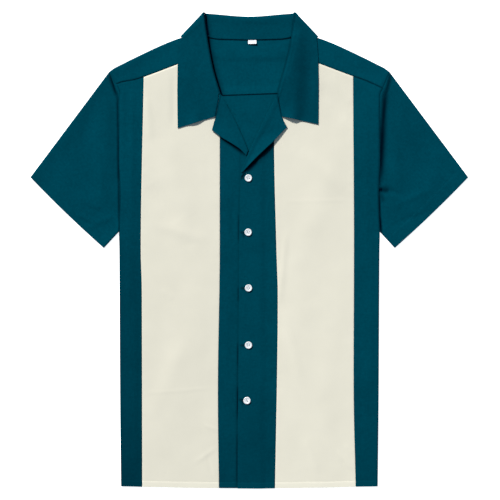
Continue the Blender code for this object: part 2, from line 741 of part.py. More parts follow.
def make_sleeve(side, parent, material):
    """A tube pressed flat: its under face, folded upper edge, upper face and folded lower edge."""
    armhole = [row.y for row in BODY_EDGE if row.y >= UNDERARM_Y]
    inner = [(armhole[-1] - y) / (armhole[-1] - UNDERARM_Y) for y in armhole[-2:0:-1]]
    height = FRONT_LEVEL + WALL + EDGE_PUFF
    radius = height / 2.0
    rows = []
    for along in SLEEVE_STATIONS:
        inset = radius / (sleeve_point(along, 1.0) - sleeve_point(along, 0.0)).length
        row = [sleeve_point(along, across) for across in [1.0 - inset, *inner[::-1], inset]]
        for step in range(1, FOLD_STEPS):
            angle = math.pi * step / FOLD_STEPS
            spot = sleeve_point(along, inset * (1.0 - math.sin(angle)))
            row.append(spot + UP * radius * (1.0 - math.cos(angle)))
        row.append(sleeve_point(along, inset) + UP * height)
        row += [sleeve_point(along, across) + UP * sleeve_top(side, along, across) for across in inner]
        row.append(sleeve_point(along, 1.0 - inset) + UP * height)
        for step in range(1, FOLD_STEPS):
            angle = math.pi * step / FOLD_STEPS
            spot = sleeve_point(along, 1.0 - inset * (1.0 - math.sin(angle)))
            row.append(spot + UP * radius * (1.0 + math.cos(angle)))
        rows.append([(side * point.x, point.y, point.z) for point in row])
    return wall(side_name("sleeve", side), rows, material, parent, flipped=side < 0, closed=True)


def make_label(parent, material):
    mesh = bpy.data.meshes.new("size_label")
    shape = bmesh.new()
    bmesh.ops.create_cube(shape, size=1.0)
    bmesh.ops.scale(shape, vec=LABEL_SIZE * MM, verts=shape.verts)
    shape.to_mesh(mesh)
    shape.free()
    mesh.materials.append(material)
    label = place(mesh, "size_label", parent)
    level = YOKE_STEP + WALL + GAP + LABEL_SIZE.z / 2.0
    label.location = Vector((*LABEL_PLACE, level)) * MM
    label.rotation_euler.z = math.radians(LABEL_TILT)


def button_mesh(material):
    """A turned button with a raised rim, its foot at height 0."""
    dish = BUTTON_RADIUS - BUTTON_RIM
    profile = (
        (0.0, 0.0),
        (BUTTON_RADIUS - BUTTON_EDGE, 0.0),
        (BUTTON_RADIUS, BUTTON_EDGE),
        (BUTTON_RADIUS, BUTTON_HEIGHT - BUTTON_EDGE),
        (BUTTON_RADIUS - BUTTON_EDGE, BUTTON_HEIGHT),
        (dish, BUTTON_HEIGHT),
        (dish - BUTTON_DISH, BUTTON_HEIGHT - BUTTON_DISH),
        (0.0, BUTTON_HEIGHT - BUTTON_DISH),
    )
    mesh = bpy.data.meshes.new("button")
    shape = bmesh.new()
    points = [shape.verts.new(Vector((out, 0.0, z)) * MM) for out, z in profile]
    edges = [shape.edges.new(pair) for pair in zip(points, points[1:])]
    bmesh.ops.spin(
        shape,
        geom=points + edges,
        cent=(0.0, 0.0, 0.0),
        axis=(0.0, 0.0, 1.0),
        angle=math.tau,
        steps=BUTTON_SIDES,
        use_merge=True,
    )
    bmesh.ops.remove_doubles(shape, verts=shape.verts, dist=MERGE * MM)
    bmesh.ops.recalc_face_normals(shape, faces=shape.faces)
    shape.to_mesh(mesh)
    shape.free()
    mesh.shade_smooth()
    mesh.set_sharp_from_angle(angle=math.radians(SHARP_ANGLE))
    mesh.materials.append(material)
    return mesh


def hole_mesh():
    """Four upright pegs that cut a button's thread holes."""
    mesh = bpy.data.meshes.new("button_holes")
    shape = bmesh.new()
    for x, y in ((-0.5, -0.5), (-0.5, 0.5), (0.5, -0.5), (0.5, 0.5)):
        peg = bmesh.ops.create_cone(
            shape,
            cap_ends=True,
            segments=HOLE_SIDES,
            radius1=HOLE_RADIUS * MM,
            radius2=HOLE_RADIUS * MM,
            depth=HOLE_CUT * MM,
        )
        bmesh.ops.translate(shape, vec=Vector((x, y, 0.0)) * HOLE_PITCH * MM, verts=peg["verts"])
    shape.to_mesh(mesh)
    shape.free()
    return mesh


def make_buttons(parent, material):
    mesh = button_mesh(material)
    pegs = hole_mesh()
    for number, spot in enumerate(BUTTONS, start=1):
        button = place(mesh, f"button_{number}", parent)
        level = front_top(spot.x, spot.y) + lap_rise(1, spot.x) + GAP
        button.location = Vector((spot.x, spot.y, level)) * MM
        cutter = place(pegs, f"button_holes_{number}", button)
        cutter.hide_render = True
        cutter.display_type = "WIRE"
        holes = button.modifiers.new("Holes", "BOOLEAN")
        holes.operation = "DIFFERENCE"
        holes.solver = "EXACT"
        holes.object = cutter


def main():
    for item in list(bpy.data.objects):
        bpy.data.objects.remove(item, do_unlink=True)
    shirt = bpy.data.objects.new("shirt", None)
    bpy.context.scene.collection.objects.link(shirt)
    teal = new_material(*TEAL)
    cream = new_material(*CREAM)
    make_back(shirt, teal)
    make_yoke(shirt, teal)
    for side in (-1, 1):
        make_side_front(side, shirt, teal)
        make_cream_panel(side, shirt, cream)
        make_centre_band(side, shirt, teal)
        make_lapel(side, shirt, teal)
        make_sleeve(side, shirt, teal)
    make_collar(shirt, teal)
    make_label(shirt, new_material(*WHITE))
    make_buttons(shirt, new_material(*BUTTON))


main()
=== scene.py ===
"""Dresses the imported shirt: fine cloth, seams, stitches, turned buttons, a floor, lights and the camera.

Sizes are in millimetres until a mesh is made, in the frame's axes: X across the shirt, Y from the hem to
the collar, Z up out of the surface it lies on. "Out" is the distance from the centre line.
"""

import logging
import math
from bisect import bisect_right
from collections.abc import Callable, Iterable, Sequence
from dataclasses import dataclass, field
from enum import Enum
from functools import cached_property
from typing import Any, NamedTuple

import bmesh
import bpy
from mathutils import Matrix, Vector, noise
from mathutils.bvhtree import BVHTree


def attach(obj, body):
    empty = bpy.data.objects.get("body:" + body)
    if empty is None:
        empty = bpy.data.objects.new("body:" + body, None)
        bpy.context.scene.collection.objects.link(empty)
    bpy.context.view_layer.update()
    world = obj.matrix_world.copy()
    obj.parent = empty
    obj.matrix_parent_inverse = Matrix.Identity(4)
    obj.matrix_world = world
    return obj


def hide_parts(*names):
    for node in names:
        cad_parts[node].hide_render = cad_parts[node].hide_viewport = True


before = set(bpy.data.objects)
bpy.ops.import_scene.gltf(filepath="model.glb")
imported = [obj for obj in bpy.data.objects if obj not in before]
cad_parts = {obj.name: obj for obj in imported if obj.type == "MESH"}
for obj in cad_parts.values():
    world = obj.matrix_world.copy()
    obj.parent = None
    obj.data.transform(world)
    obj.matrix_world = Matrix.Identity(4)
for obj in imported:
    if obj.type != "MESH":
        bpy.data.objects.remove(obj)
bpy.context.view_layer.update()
LOG = logging.getLogger("shirt")

MM = 0.001
# The wall of the solids' cloth, the wall of the cloth here, and the gap of a sewn seam.
WALL = 1.2
THIN = 0.9
SEAM_GAP = 0.08
UP = Vector((0.0, 0.0, 1.0))
# What a pixel of the photograph measures on the shirt, and how many there are across.
PIXEL = 1.70
PICTURE = 500


class Side(Enum):
    """A half of the shirt, as the photograph shows it."""

    LEFT = -1
    RIGHT = 1

    @classmethod
    def at(cls, x: float) -> "Side":
        """The half that a place is on."""
        return cls.RIGHT if x > 0.0 else cls.LEFT

    def name_of(self, piece: str) -> str:
        """The name of this half's copy of a piece."""
        return f"{piece}_{self.name.lower()}"

    def pick(self, pair: Sequence[Any]) -> Any:
        """This half's share of a pair, in which the left one comes first."""
        return pair[self is Side.RIGHT]

    def place(self, spot: Vector) -> Vector:
        """A point that is given by its distance out, put on this half."""
        return Vector((self.value * spot.x, spot.y, spot.z))


class Slot(Enum):
    """A material slot of the record."""

    TEAL = "teal_cotton"
    CREAM = "cream_cotton"
    LABEL = "white_label"
    BUTTON = "button_resin"


def blend(start: float, end: float, share: float) -> float:
    """The value a share of the way from start to end."""
    return start + (end - start) * share


def even(start: float, end: float, count: int) -> list[float]:
    """The ends of so many equal steps from start to end."""
    return [blend(start, end, index / count) for index in range(count + 1)]


def ease(low: float, high: float, value: float) -> float:
    """0 at low, 1 at high, and a smooth step between them."""
    share = min(max((value - low) / (high - low), 0.0), 1.0)
    return share * share * (3.0 - 2.0 * share)


def fade(low: float, high: float, value: float) -> float:
    """1 at low, 0 at high, and a smooth step between them."""
    return 1.0 - ease(low, high, value)


def level(x: float, y: float) -> Vector:
    """A point at no height."""
    return Vector((x, y, 0.0))


def hump(away: float, reach: float) -> float:
    """1 at no distance, falling smoothly to nothing past a reach."""
    return math.exp(-((away / reach) ** 2))


def ripple(along: float, across: float, seed: float) -> float:
    """Smooth noise from -1 to 1 at a place that is given in its own wavelengths."""
    return noise.noise(Vector((along, across, seed)))


@dataclass(frozen=True)
class Track:
    """A smooth line through a table of two columns, read by the first."""

    rows: tuple[tuple[float, float], ...]

    @cached_property
    def keys(self) -> list[float]:
        """The first column."""
        return [key for key, _ in self.rows]

    @cached_property
    def slopes(self) -> list[float]:
        """The line's slope at each row, gentle enough that it never overshoots a row.

        Returns:
            The slopes, row by row.
        """
        steps = [(b[1] - a[1]) / (b[0] - a[0]) for a, b in zip(self.rows, self.rows[1:])]
        inner = [2.0 * a * b / (a + b) if a * b > 0.0 else 0.0 for a, b in zip(steps, steps[1:])]
        return [steps[0], *inner, steps[-1]]

    def at(self, key: float) -> float:
        """The second column at a value of the first.

        Args:
            key: a value of the first column, held within the table.

        Returns:
            The smooth line's value there.
        """
        index = bisect_right(self.keys, key) - 1
        if index < 0:
            return self.rows[0][1]
        if index >= len(self.rows) - 1:
            return self.rows[-1][1]
        (low, start), (high, end) = self.rows[index : index + 2]
        run = high - low
        t = (key - low) / run
        pull = (1.0 - t) * run * self.slopes[index] - t * run * self.slopes[index + 1]
        return blend(start, end, t * t * (3.0 - 2.0 * t)) + t * (1.0 - t) * pull


class Ridge(NamedTuple):
    """A soft ridge between two points, or a trough where its height is negative."""

    x0: float
    y0: float
    x1: float
    y1: float
    reach: float
    height: float

    def rise(self, x: float, y: float) -> float:
        """Its height at a place.

        Args:
            x, y: the place.

        Returns:
            The rise there, which fades out across the ridge and at its ends.
        """
        run_x, run_y = self.x1 - self.x0, self.y1 - self.y0
        share = ((x - self.x0) * run_x + (y - self.y0) * run_y) / (run_x * run_x + run_y * run_y)
        share = min(max(share, 0.0), 1.0)
        away_x, away_y = x - self.x0 - share * run_x, y - self.y0 - share * run_y
        away = (away_x * away_x + away_y * away_y) / (self.reach * self.reach)
        if away > 8.0:
            return 0.0
        return self.height * (1.0 - 0.7 * (2.0 * share - 1.0) ** 4) * math.exp(-away)


def ridges(*rows: Sequence[float]) -> tuple[Ridge, ...]:
    """Ridges from rows with a ridge's columns: its two ends, its reach and its height."""
    return tuple(Ridge(*row) for row in rows)


def total(folds: Iterable[Ridge], x: float, y: float) -> float:
    """What ridges add up to at a place."""
    return sum(fold.rise(x, y) for fold in folds)


BROAD_FOLDS = ridges(
    (-200, 190, -200, -390, 9, 1.3), (-152, 190, -100, 10, 26, 1.2), (-84, -60, -140, -330, 30, 0.9),
    (152, 190, 104, 20, 28, 1.1), (84, -30, 88, -280, 22, 0.8), (146, -120, 112, -380, 28, 0.9),
    (202, 60, 201, -300, 9, 0.9), (-252, 235, -250, 70, 16, 2.6), (-262, 60, -330, 130, 20, 1.8),
    (249, 240, 248, 85, 15, 3), (270, 55, 322, 150, 20, 1.7),
)

# The smaller creases of the fronts: soft diagonals on the cream panels, the pressed cross folds, and the
# drag lines beside the placket and in the side panels.
FRONT_CREASES = ridges(
    (-169, 111, -121, 48, 14, -1), (-143, 137, -92, 60, 14, 0.8), (-175, 262, -168, 190, 7, 0.9),
    (-128, 298, -128, 213, 6, -0.8), (-181, -243, -60, -234, 2.4, 0.2), (-160, 43, -75, 18, 9, 0.5),
    (-147, -67, -131, -84, 5, 0.35), (-109, -152, -169, -288, 16, 0.8), (-75, -297, -57, -305, 3, 0.4),
    (-91, -360, -58, -336, 3.5, 0.4), (-72, -348, -63, -382, 3, -0.35), (52, 83, 175, 85, 2.2, 0.2),
    (86, 171, 163, 103, 14, 0.8), (120, 281, 163, 222, 10, -0.8), (137, 298, 175, 247, 8, 0.7),
    (62, 26, 52, -84, 5, 0.6), (59, -101, 86, -220, 9, 0.6), (150, -340, 175, -374, 2.8, 0.5),
    (156, -358, 176, -392, 2.8, -0.4), (163, -331, 176, -343, 2.8, 0.4), (95, -322, 117, -373, 6, 0.5),
    (103, -84, 146, -135, 14, 0.5), (-198, 281, -199.5, 120, 4, 0.7), (-210, 264, -206, 171, 3.5, -0.6),
    (-206, 52, -208, -135, 5, 0.5), (-194, -84, -193, -373, 4.5, 0.5), (-215, -220, -213, -390, 4, -0.4),
    (-220, 72, -208, 70, 2.4, 0.4), (198, 239, 200, 35, 4, 0.5), (208, 18, 207, -254, 4, 0.5),
    (188, -84, 190, -356, 3.5, -0.4), (-28, 77, -28, 31, 4, -0.7), (-26, -241, -21, -297, 4, -0.6),
    (21.5, 111, 42, 60, 5, 0.4), (9.6, -84, 38.5, -110, 5, 0.4), (4.5, 18, 21.5, -20, 4, 0.4),
    (1, -169, 32, -207, 6, 0.5), (-9, -84, -10, -150, 3, 0.3), (-41, 120, -36, 18, 5, 0.4),
    (-36, -84, -40, -220, 5, 0.4),
)
SLEEVE_CREASES = ridges(
    (-322, 145, -254, 86, 10, 1.16), (-293, 62, -262, 48, 4.5, 1.16), (-284, 77, -247, 62, 4.5, -0.87),
    (-274, 38, -233, 58, 4, 0.87), (-262, 239, -288, 171, 12, -1.16), (-305, 205, -322, 154, 9, 0.72),
    (227, 106, 256, 94, 4.5, -1.45), (256, 239, 277, 137, 9, 1.16), (290, 205, 324, 128, 10, -0.87),
    (248, 77, 307, 103, 6, 1.01), (253, 48, 299, 62, 4.5, -0.72), (317, 171, 350, 133, 7, 0.72),
)
# The deep folds of the sleeves beside the armholes, 1 where they are full, which sink the cloth and are also
# painted as shade; and the painted shadows on the placket: beside each button where the buttonhole pulls,
# under the lapels' edges, along the left band's lap, and where the lapel's foot turns out.
ARMHOLE_FOLDS = ridges(
    (241, 303, 228.6, 250, 3.4, 0.9), (231.6, 275, 225, 190, 5.2, 1.05), (227.8, 235, 221.6, 116, 6.6, 1.1),
    (221.4, 165, 220, 105, 4.2, 1), (214, 103.4, 227, 103, 4.4, 1.5), (220, 103.4, 238, 102, 5, 0.8),
    (221, 97, 229, 82, 5, 0.5), (220.4, 104, 221.8, 48, 2.5, 1.05), (220.8, 66, 224.2, 26, 2.8, 1.15),
    (-236.5, 298, -225, 260, 2.6, 1), (-224.6, 272, -222.9, 185, 1.6, 0.8),
    (-223, 205, -222.4, 135, 2.2, 0.85), (-222.6, 165, -221.6, 112, 2.2, 0.9),
    (-221.5, 125, -221.2, 50, 1.8, 0.65), (-234.5, 266, -227, 110, 6.5, 0.14), (241, 250, 252, 150, 9, 0.09),
)
BAND_SHADOWS = {
    Side.LEFT: ridges(
        (-54, 196.5, -5, 162, 2.9, 1.15), (-17.6, 60, -18, 14, 1.7, 0.5), (-18.2, -62, -18.5, -88, 1.7, 0.5),
        (-18.8, -158, -19, -198, 1.7, 0.55), (-19.5, -232, -19.9, -286, 1.9, 0.75),
        (-20.3, -314, -20.6, -396, 1.6, 0.4),
    ),
    Side.RIGHT: ridges(
        (-15, 120.6, -6, 134.5, 2.2, 1), (44, 185, 6, 148, 3.2, 1.15), (14, 154.4, -8, 133.6, 4.7, 1.4),
        (44, 180, 0, 140, 7.5, 0.4), (-15, 31, -6, 29.6, 2, 1), (-10, 29, -9, 22, 2, 0.6),
        (-15, -64, -6, -64.8, 1.9, 0.9), (-15, -161, -6, -162, 1.9, 0.9), (-17, -253.5, -7, -256, 2.2, 1),
        (-12, -256, -11, -263, 2, 0.6),
    ),
}
# Painted shade: how light each front panel's cloth is painted, by height, with the shirt painted darker
# towards its hem.
PAINTED_PANEL_SHADES = {
    "side_front_left": Track((
        (-400, 0.58), (-340, 0.64), (-220, 0.78), (-84, 0.79), (51, 0.93), (153, 1), (256, 1.05),
    )),
    "side_front_right": Track((
        (-400, 0.8), (-340, 0.84), (-220, 0.91), (-84, 0.97), (51, 0.96), (153, 0.99), (256, 1.07),
    )),
    "cream_panel_left": Track(((-400, 0.968), (-84, 0.98), (100, 1))),
    "cream_panel_right": Track(((-400, 1), (276, 1))),
    "centre_band_left": Track(((-400, 0.76), (-355, 0.78), (-290, 0.85), (-100, 0.93), (70, 0.92), (110, 1))),
    "centre_band_right": Track((
        (-400, 0.82), (-355, 0.78), (-290, 0.84), (-238, 0.89), (-100, 0.95), (130, 0.98),
    )),
}
YOKE_CREASES = ridges((-169, 341, -220, 303, 6, 0.4), (137, 341, 208, 303, 7, 0.5))
COLLAR_CREASES = ridges(
    (-112, 300, -88, 226, 7, 0.5), (-84, 330, -96, 270, 7, -0.35), (104, 330, 92, 232, 8, -0.9),
    (84, 300, 76, 240, 6, 0.5), (112, 290, 110, 230, 5, 0.5),
)
# Those inside the neck, and the gentle ones of the back, which lies flat on the table.
NECK_CREASES = ridges((-41, 324, 52, 332, 12, 0.35), (-30, 292, 44, 284, 9, 0.25))
BACK_CREASES = ridges(
    (2, 247, 21, 205, 6, 0.5), (-24, 252, -8, 196, 6, -0.3),
    (-150, -60, -60, -190, 16, 0.3), (60, 120, 150, -20, 18, 0.3), (-40, 210, -90, 60, 14, 0.25),
    (70, -210, 30, -350, 14, 0.25), (-180, -270, 150, -262, 3, 0.2),
)


@dataclass(frozen=True)
class Cut:
    """The outlines of the shirt laid flat, which its pieces share, with a side's two copies as pairs."""

    underarm: float = 31.5
    back_seam: float = 265
    hem: float = -400.6
    yoke_ends: tuple[float, float] = (5.5, -1.5)
    gapes: tuple[float, float] = (4, 0)
    gape_at: float = 277
    body_edge: Track = Track((
        (-404, 218), (-250, 219.6), (-60, 220.6), (0, 221), (31.5, 221.6), (58, 220.6),
        (90, 219.6), (122, 220.6), (154, 222), (186, 222), (218, 221.8), (242, 222),
        (265, 222.4), (276, 227.3), (303, 238.3),
    ))
    shoulder_fold: Track = Track((
        (86, 373), (116, 361), (124, 358.6), (202, 323.6), (211, 319), (219, 315),
        (226, 311.5), (232, 308), (238.3, 303),
    ))
    back_neck: Track = Track(((0, 358.6), (44, 359.6), (66, 361.3), (78, 366.5), (86, 373)))
    front_neck: Track = Track((
        (263, 51.3), (279, 56), (299, 63), (317, 70), (334, 75.8), (350, 80),
        (363, 83.5), (373, 86),
    ))
    yoke_seam: Track = Track((
        (75.8, 334), (121, 316.5), (178.5, 295), (193, 290), (208, 284.5), (219, 280),
        (227.3, 276),
    ))
    cream_outer: tuple[Track, Track] = (
        Track(((-404, 182), (-66, 182.8), (0, 184.5), (296, 179.5))),
        Track(((-404, 180.8), (-220, 177.2), (0, 177.9), (296, 176.3))),
    )
    cream_inner: tuple[Track, Track] = (
        Track(((-404, 51.6), (-240, 53.3), (0, 50.2), (187, 50.2), (263, 51.5))),
        Track(((-404, 43.6), (-80, 48.2), (0, 46), (187, 42), (263, 51.5))),
    )
    lap: tuple[Track, Track] = (
        Track(((-404, -15), (126, -13))),
        Track(((-404, -20.1), (-253, -19), (30, -17), (126, -14.7))),
    )

    @property
    def shoulder(self) -> float:
        """How high the body's edge ends, at the end of the shoulder's fold."""
        return self.body_edge.rows[-1][0]

    def yoke_at(self, side: Side, out: float) -> float:
        """How high the yoke's front seam runs at a distance out."""
        return self.yoke_seam.at(out) + side.pick(self.yoke_ends) * ease(188, 227, out)

    def front_edge(self, side: Side, y: float) -> float:
        """The front's own edge: the body's, drawn in where the left armhole gapes."""
        return self.body_edge.at(y) - side.pick(self.gapes) * hump(y - self.gape_at, 12.0)

    def back_seam_at(self, x: float) -> float:
        """The height of the yoke's back seam, which lies a little askew inside the neck."""
        return self.back_seam + (0.6 + 0.035 * x) * fade(60, 120, abs(x))

    def hem_at(self, out: float, sag: float) -> float:
        """How high a hem with a sag runs at a distance out."""
        return self.hem - sag * (1 - (out / self.body_edge.rows[0][1]) ** 2)


@dataclass(frozen=True)
class Seam:
    """How a seam shapes the cloth beside it: a narrow dip, and the puckers that its thread pulls up."""

    dip: float = 0.75
    dip_reach: float = 1.1
    pucker: float = 0.34
    pucker_reach: float = 7.0
    pucker_length: float = 8.0

    def rise(self, away: float, along: float, seed: float, depth: float = 1.0) -> float:
        """The cloth's rise near the seam.

        Args:
            away: the distance from the seam.
            along: the distance along it.
            seed: sets one seam's puckers apart from another's.
            depth: how deep the dip is, as a share of the usual.

        Returns:
            The rise, which is negative in the seam itself.
        """
        if away > 4.0 * self.pucker_reach:
            return 0.0
        strength = 0.55 + 0.75 * ripple(along / 90.0, 0.0, seed)
        pull = ripple(along / self.pucker_length, away / 14.0, seed + 5.0) * max(strength, 0.1)
        swell = self.pucker * pull * math.exp(-away / self.pucker_reach) * (1.0 - hump(away, 1.0))
        return swell - self.dip * depth * hump(away, self.dip_reach)


@dataclass(frozen=True)
class Lay:
    """How the layers of cloth lie on each other: the height of each face over the table."""

    cut: Cut = Cut()
    seam: Seam = Seam()
    hem_seam: Seam = Seam(dip=0.14, dip_reach=0.9, pucker=0.3, pucker_reach=5.0, pucker_length=6.0)
    front_level: float = 2.0
    lap_step: float = 1.6
    neck_step: float = 1.6
    yoke_step: float = 1.5
    puff: float = 1.6
    puff_reach: float = 13.0
    drape: float = 0.5
    hem_turn: float = 9.5

    def curl(self, y: float) -> float:
        """0 along the armhole, where the body's edge lies flat, and 1 down its folded side."""
        return fade(self.cut.underarm - 14.0, self.cut.underarm, y)

    def drift(self, x: float, y: float) -> float:
        """The unevenness of cloth that has been pressed and laid down by hand."""
        wide = ripple(x / 62.0, y / 95.0, 3.7)
        return self.drape * (wide + 0.45 * ripple(x / 27.0, y / 34.0, 9.1))

    def broad(self, x: float, y: float) -> float:
        """The large folds, which fade towards the buttoned middle and under the collar."""
        collar = ease(180.0, 215.0, y) * fade(128.0, 150.0, abs(x))
        return total(BROAD_FOLDS, x, y) * ease(24.0, 60.0, abs(x)) * (1.0 - collar)

    def shoulder_puff(self, x: float, y: float) -> float:
        """The rise where the yoke is folded over the shoulder."""
        away = self.cut.shoulder_fold.at(abs(x)) - y
        return self.puff * hump(away * 0.9, self.puff_reach) * ease(124.0, 150.0, abs(x))

    def front(self, x: float, y: float) -> float:
        """The height of the top of the fronts, without creases.

        Args:
            x, y: a place on the fronts or the yoke's front.

        Returns:
            The height there.
        """
        neck = ease(200.0, 330.0, y) * fade(118.0, 178.0, abs(x))
        side = self.puff * hump(self.cut.body_edge.at(y) - abs(x), self.puff_reach) * self.curl(y)
        base = self.front_level + WALL + self.neck_step * neck + side
        return base + self.broad(x, y) + self.shoulder_puff(x, y)

    def lap_rise(self, side: Side, out: float) -> float:
        """How far a band is lifted where it laps over the other."""
        return self.lap_step * fade(17.0, 30.0, out) if side is Side.RIGHT else 0.0


CUT = Cut()
LAY = Lay()


class LapelRow(NamedTuple):
    """A lapel's section: its roll line, its free edge, its roll's radius and turn, and its edge's lift."""

    roll_x: float
    roll_y: float
    edge_x: float
    edge_y: float
    radius: float
    turn: float
    lift: float


class CollarRow(NamedTuple):
    """A collar's section: its roll line, fall's middle, edge, neck seam, and its roll's radius and turn."""

    roll_x: float
    roll_y: float
    mid_x: float
    mid_y: float
    edge_x: float
    edge_y: float
    neck_x: float
    neck_y: float
    radius: float
    turn: float

    @property
    def lies(self) -> bool:
        """Whether the fall is turned all the way over, and lies on the front."""
        return self.turn == 180.0


def sections(kind: type, *rows: Sequence[float]) -> tuple[Any, ...]:
    """The sections of a rolled piece, from rows with the columns of their kind."""
    return tuple(kind(*row) for row in rows)


LAPELS = {
    Side.LEFT: sections(
        LapelRow,
        (1.4, 168.5, 5.2, 161.2, 1.5, 180, 0.4),
        (7, 183, 14.8, 171.3, 1.6, 180, 1.8),
        (15, 201.5, 28.7, 181, 1.75, 180, 3.4),
        (24, 221, 47.6, 192.3, 1.9, 180, 3.6),
        (33.6, 239, 63.5, 204, 2, 180, 1.8),
        (40.6, 252.5, 60.4, 216, 2.05, 180, 0.7),
        (48.3, 265.3, 56.9, 227.5, 2.1, 180, 0.3),
    ),
    Side.RIGHT: sections(
        LapelRow,
        (-14.7, 133, -12.4, 132.6, 1.35, 60, 0.1),
        (-10, 144.5, -4, 141.6, 1.4, 120, 1.4),
        (-2.4, 163, 11, 157.4, 1.5, 180, 4),
        (6, 182, 26, 171.6, 1.65, 180, 5.2),
        (16, 203, 42, 186.7, 1.8, 180, 3.8),
        (29, 230, 64, 209.5, 1.95, 180, 1),
        (39, 249.5, 59, 218.6, 2.05, 180, 0.7),
        (47, 265.3, 54.4, 227.5, 2.1, 180, 0.3),
    ),
}
# From the collar's point up the front to the shoulder, over it, and along the back to its middle.
COLLAR_FRONT = sections(
    CollarRow,
    (47.1, 265.5, 55.9, 227.6, 119.8, 210.8, 51, 263.2, 2.1, 180),
    (51.4, 281, 66, 256, 120.2, 238, 55.7, 279, 2.3, 180),
    (56.9, 300, 76, 284, 120.4, 268, 62.7, 299, 2.35, 180),
    (62, 318, 84, 308, 120.2, 296, 69.7, 317, 2.3, 180),
    (66.8, 337, 90, 330, 119.8, 318, 76, 336, 2.1, 180),
    (71, 361, 94, 351, 119, 338, 82.4, 360, 1.8, 180),
    (74.2, 384, 95, 368, 118, 352, 84.8, 369.5, 1.7, 180),
    (77.4, 405.5, 94.8, 387.3, 117.3, 363.4, 86, 373, 1.5, 180),
)
COLLAR_TURNS = (150, 120, 90, 60, 30, 0)
COLLAR_BACK = sections(
    CollarRow,
    (70, 402.4, 88, 374, 105, 354.4, 77, 366, 1.6, 0),
    (57, 401.3, 68, 366, 84, 342.4, 61, 361, 1.9, 0),
    (39, 399.6, 44, 364, 54, 335.8, 41, 359.6, 2.5, 0),
    (19.5, 397.9, 22, 362, 26, 334.4, 20.5, 359.1, 2.9, 0),
    (0, 397.1, 0, 361, 0, 334.2, 0, 358.6, 3, 0),
)
PEAK = COLLAR_FRONT[-1]
COLLAR = COLLAR_FRONT + tuple(PEAK._replace(turn=turn) for turn in COLLAR_TURNS) + COLLAR_BACK
ROLL_PATH = [(row.roll_x, row.roll_y) for row in LAPELS[Side.RIGHT] + COLLAR_FRONT]
# A lapel's sections and then the collar's, which share the section at the gorge seam.
ROLLS = {side: rows[:-1] + COLLAR_FRONT for side, rows in LAPELS.items()}
ROLL_LINE = Track(tuple((row.roll_y, row.roll_x) for row in COLLAR_FRONT))
# How much farther out the left half of the collar rolls than the right half.
LEFT_ROLL = Track(((262, 1.3), (281, 2.2), (300, 2.3), (318, 1.4), (337, 0.3), (361, 0)))


def roll_out(x: float, y: float) -> float:
    """How far from the middle the collar rolls over, on the side of a place and at its height."""
    return ROLL_LINE.at(y) + (LEFT_ROLL.at(y) if x < 0.0 else 0.0)


def roll_shade(x: float, y: float) -> float:
    """How dark the cloth inside the neck is close beside the collar's roll, from 0 to 1.

    Args:
        x, y: the place.

    Returns:
        The share of light that is lost.
    """
    inside = roll_out(x, y) - abs(x)
    if y < 262.0 or y > 404.0 or inside < -2.5:
        return 0.0
    if x > 0.0:
        return 0.4 * hump(inside + 0.2, 2.0)
    upper = ease(340.0, 362.0, y)
    depth, reach = blend(0.8, 0.95, upper), blend(1.6, 2.1, upper)
    return min(depth * hump(inside - 1.4, reach) + 0.4 * hump(inside - 1.6, 6.5), 1.0)


def gorge_shade(x: float, y: float) -> float:
    """How dark the cloth is close beside the seam between collar and lapel, from 0 to 1.

    Args:
        x, y: the place.

    Returns:
        The share of light that is lost.
    """
    row = LAPELS[Side.at(x)][-1]
    away = path_distance(abs(x), y, [(row.roll_x, row.roll_y), (row.edge_x, row.edge_y)])
    return 0.5 * hump(away, 1.4)


def level_normal(start: Sequence[float], end: Sequence[float]) -> Vector:
    """The level direction to the left of the way from one point to another."""
    along = Vector((end[0] - start[0], end[1] - start[1], 0.0)).normalized()
    return Vector((-along.y, along.x, 0.0))


def around(start: Vector, towards: Vector, angle: float) -> Vector:
    """A direction that is turned by an angle from its start towards another direction."""
    return towards * math.sin(angle) + start * math.cos(angle)


def roll_facing(rows: Sequence[LapelRow | CollarRow], index: int) -> Vector:
    """The level direction that a roll faces at a section, square to its line."""
    before, after = rows[max(index - 1, 0)], rows[min(index + 1, len(rows) - 1)]
    return level_normal((before.roll_x, before.roll_y), (after.roll_x, after.roll_y))


def path_distance(x: float, y: float, path: Sequence[tuple[float, float]]) -> float:
    """The shortest distance from a place to a line through points.

    Args:
        x, y: the place.
        path: the line's points.

    Returns:
        The distance.
    """
    best = math.inf
    for (x0, y0), (x1, y1) in zip(path, path[1:]):
        run_x, run_y = x1 - x0, y1 - y0
        share = ((x - x0) * run_x + (y - y0) * run_y) / (run_x * run_x + run_y * run_y)
        share = min(max(share, 0.0), 1.0)
        best = min(best, math.hypot(x - x0 - share * run_x, y - y0 - share * run_y))
    return best


# The space under a turned-out layer, and how far from its roll it has come down to that.
TURNED_GAP = 0.6
TURNED_REACH = 45.0
# Extra rows beside the seam between collar and lapel, and how far its dip reaches, counted in sections.
GORGE_ROWS = (0.03, 0.07)
GORGE_REACH = 0.09


def gorge_dip(away: float) -> float:
    """How deep the cloth sinks at a distance, in sections, from the seam between collar and lapel."""
    return 1.3 * hump(away, GORGE_REACH)


def turned_top(side: Side, out: float, y: float, radius: float) -> float:
    """The top of a turned-out layer, which lies on the front and rises to its roll.

    Args:
        side: the half it is on.
        out, y: the place.
        radius: the radius of the roll there.

    Returns:
        The height of its upper face.
    """
    away = max(path_distance(out, y, ROLL_PATH) - radius, 0.0)
    rise = (2.0 * (radius - WALL) - TURNED_GAP) * max(1.0 - away / TURNED_REACH, 0.0) ** 2
    return LAY.front(side.value * out, y) + LAY.lap_rise(side, out) + TURNED_GAP + WALL + rise


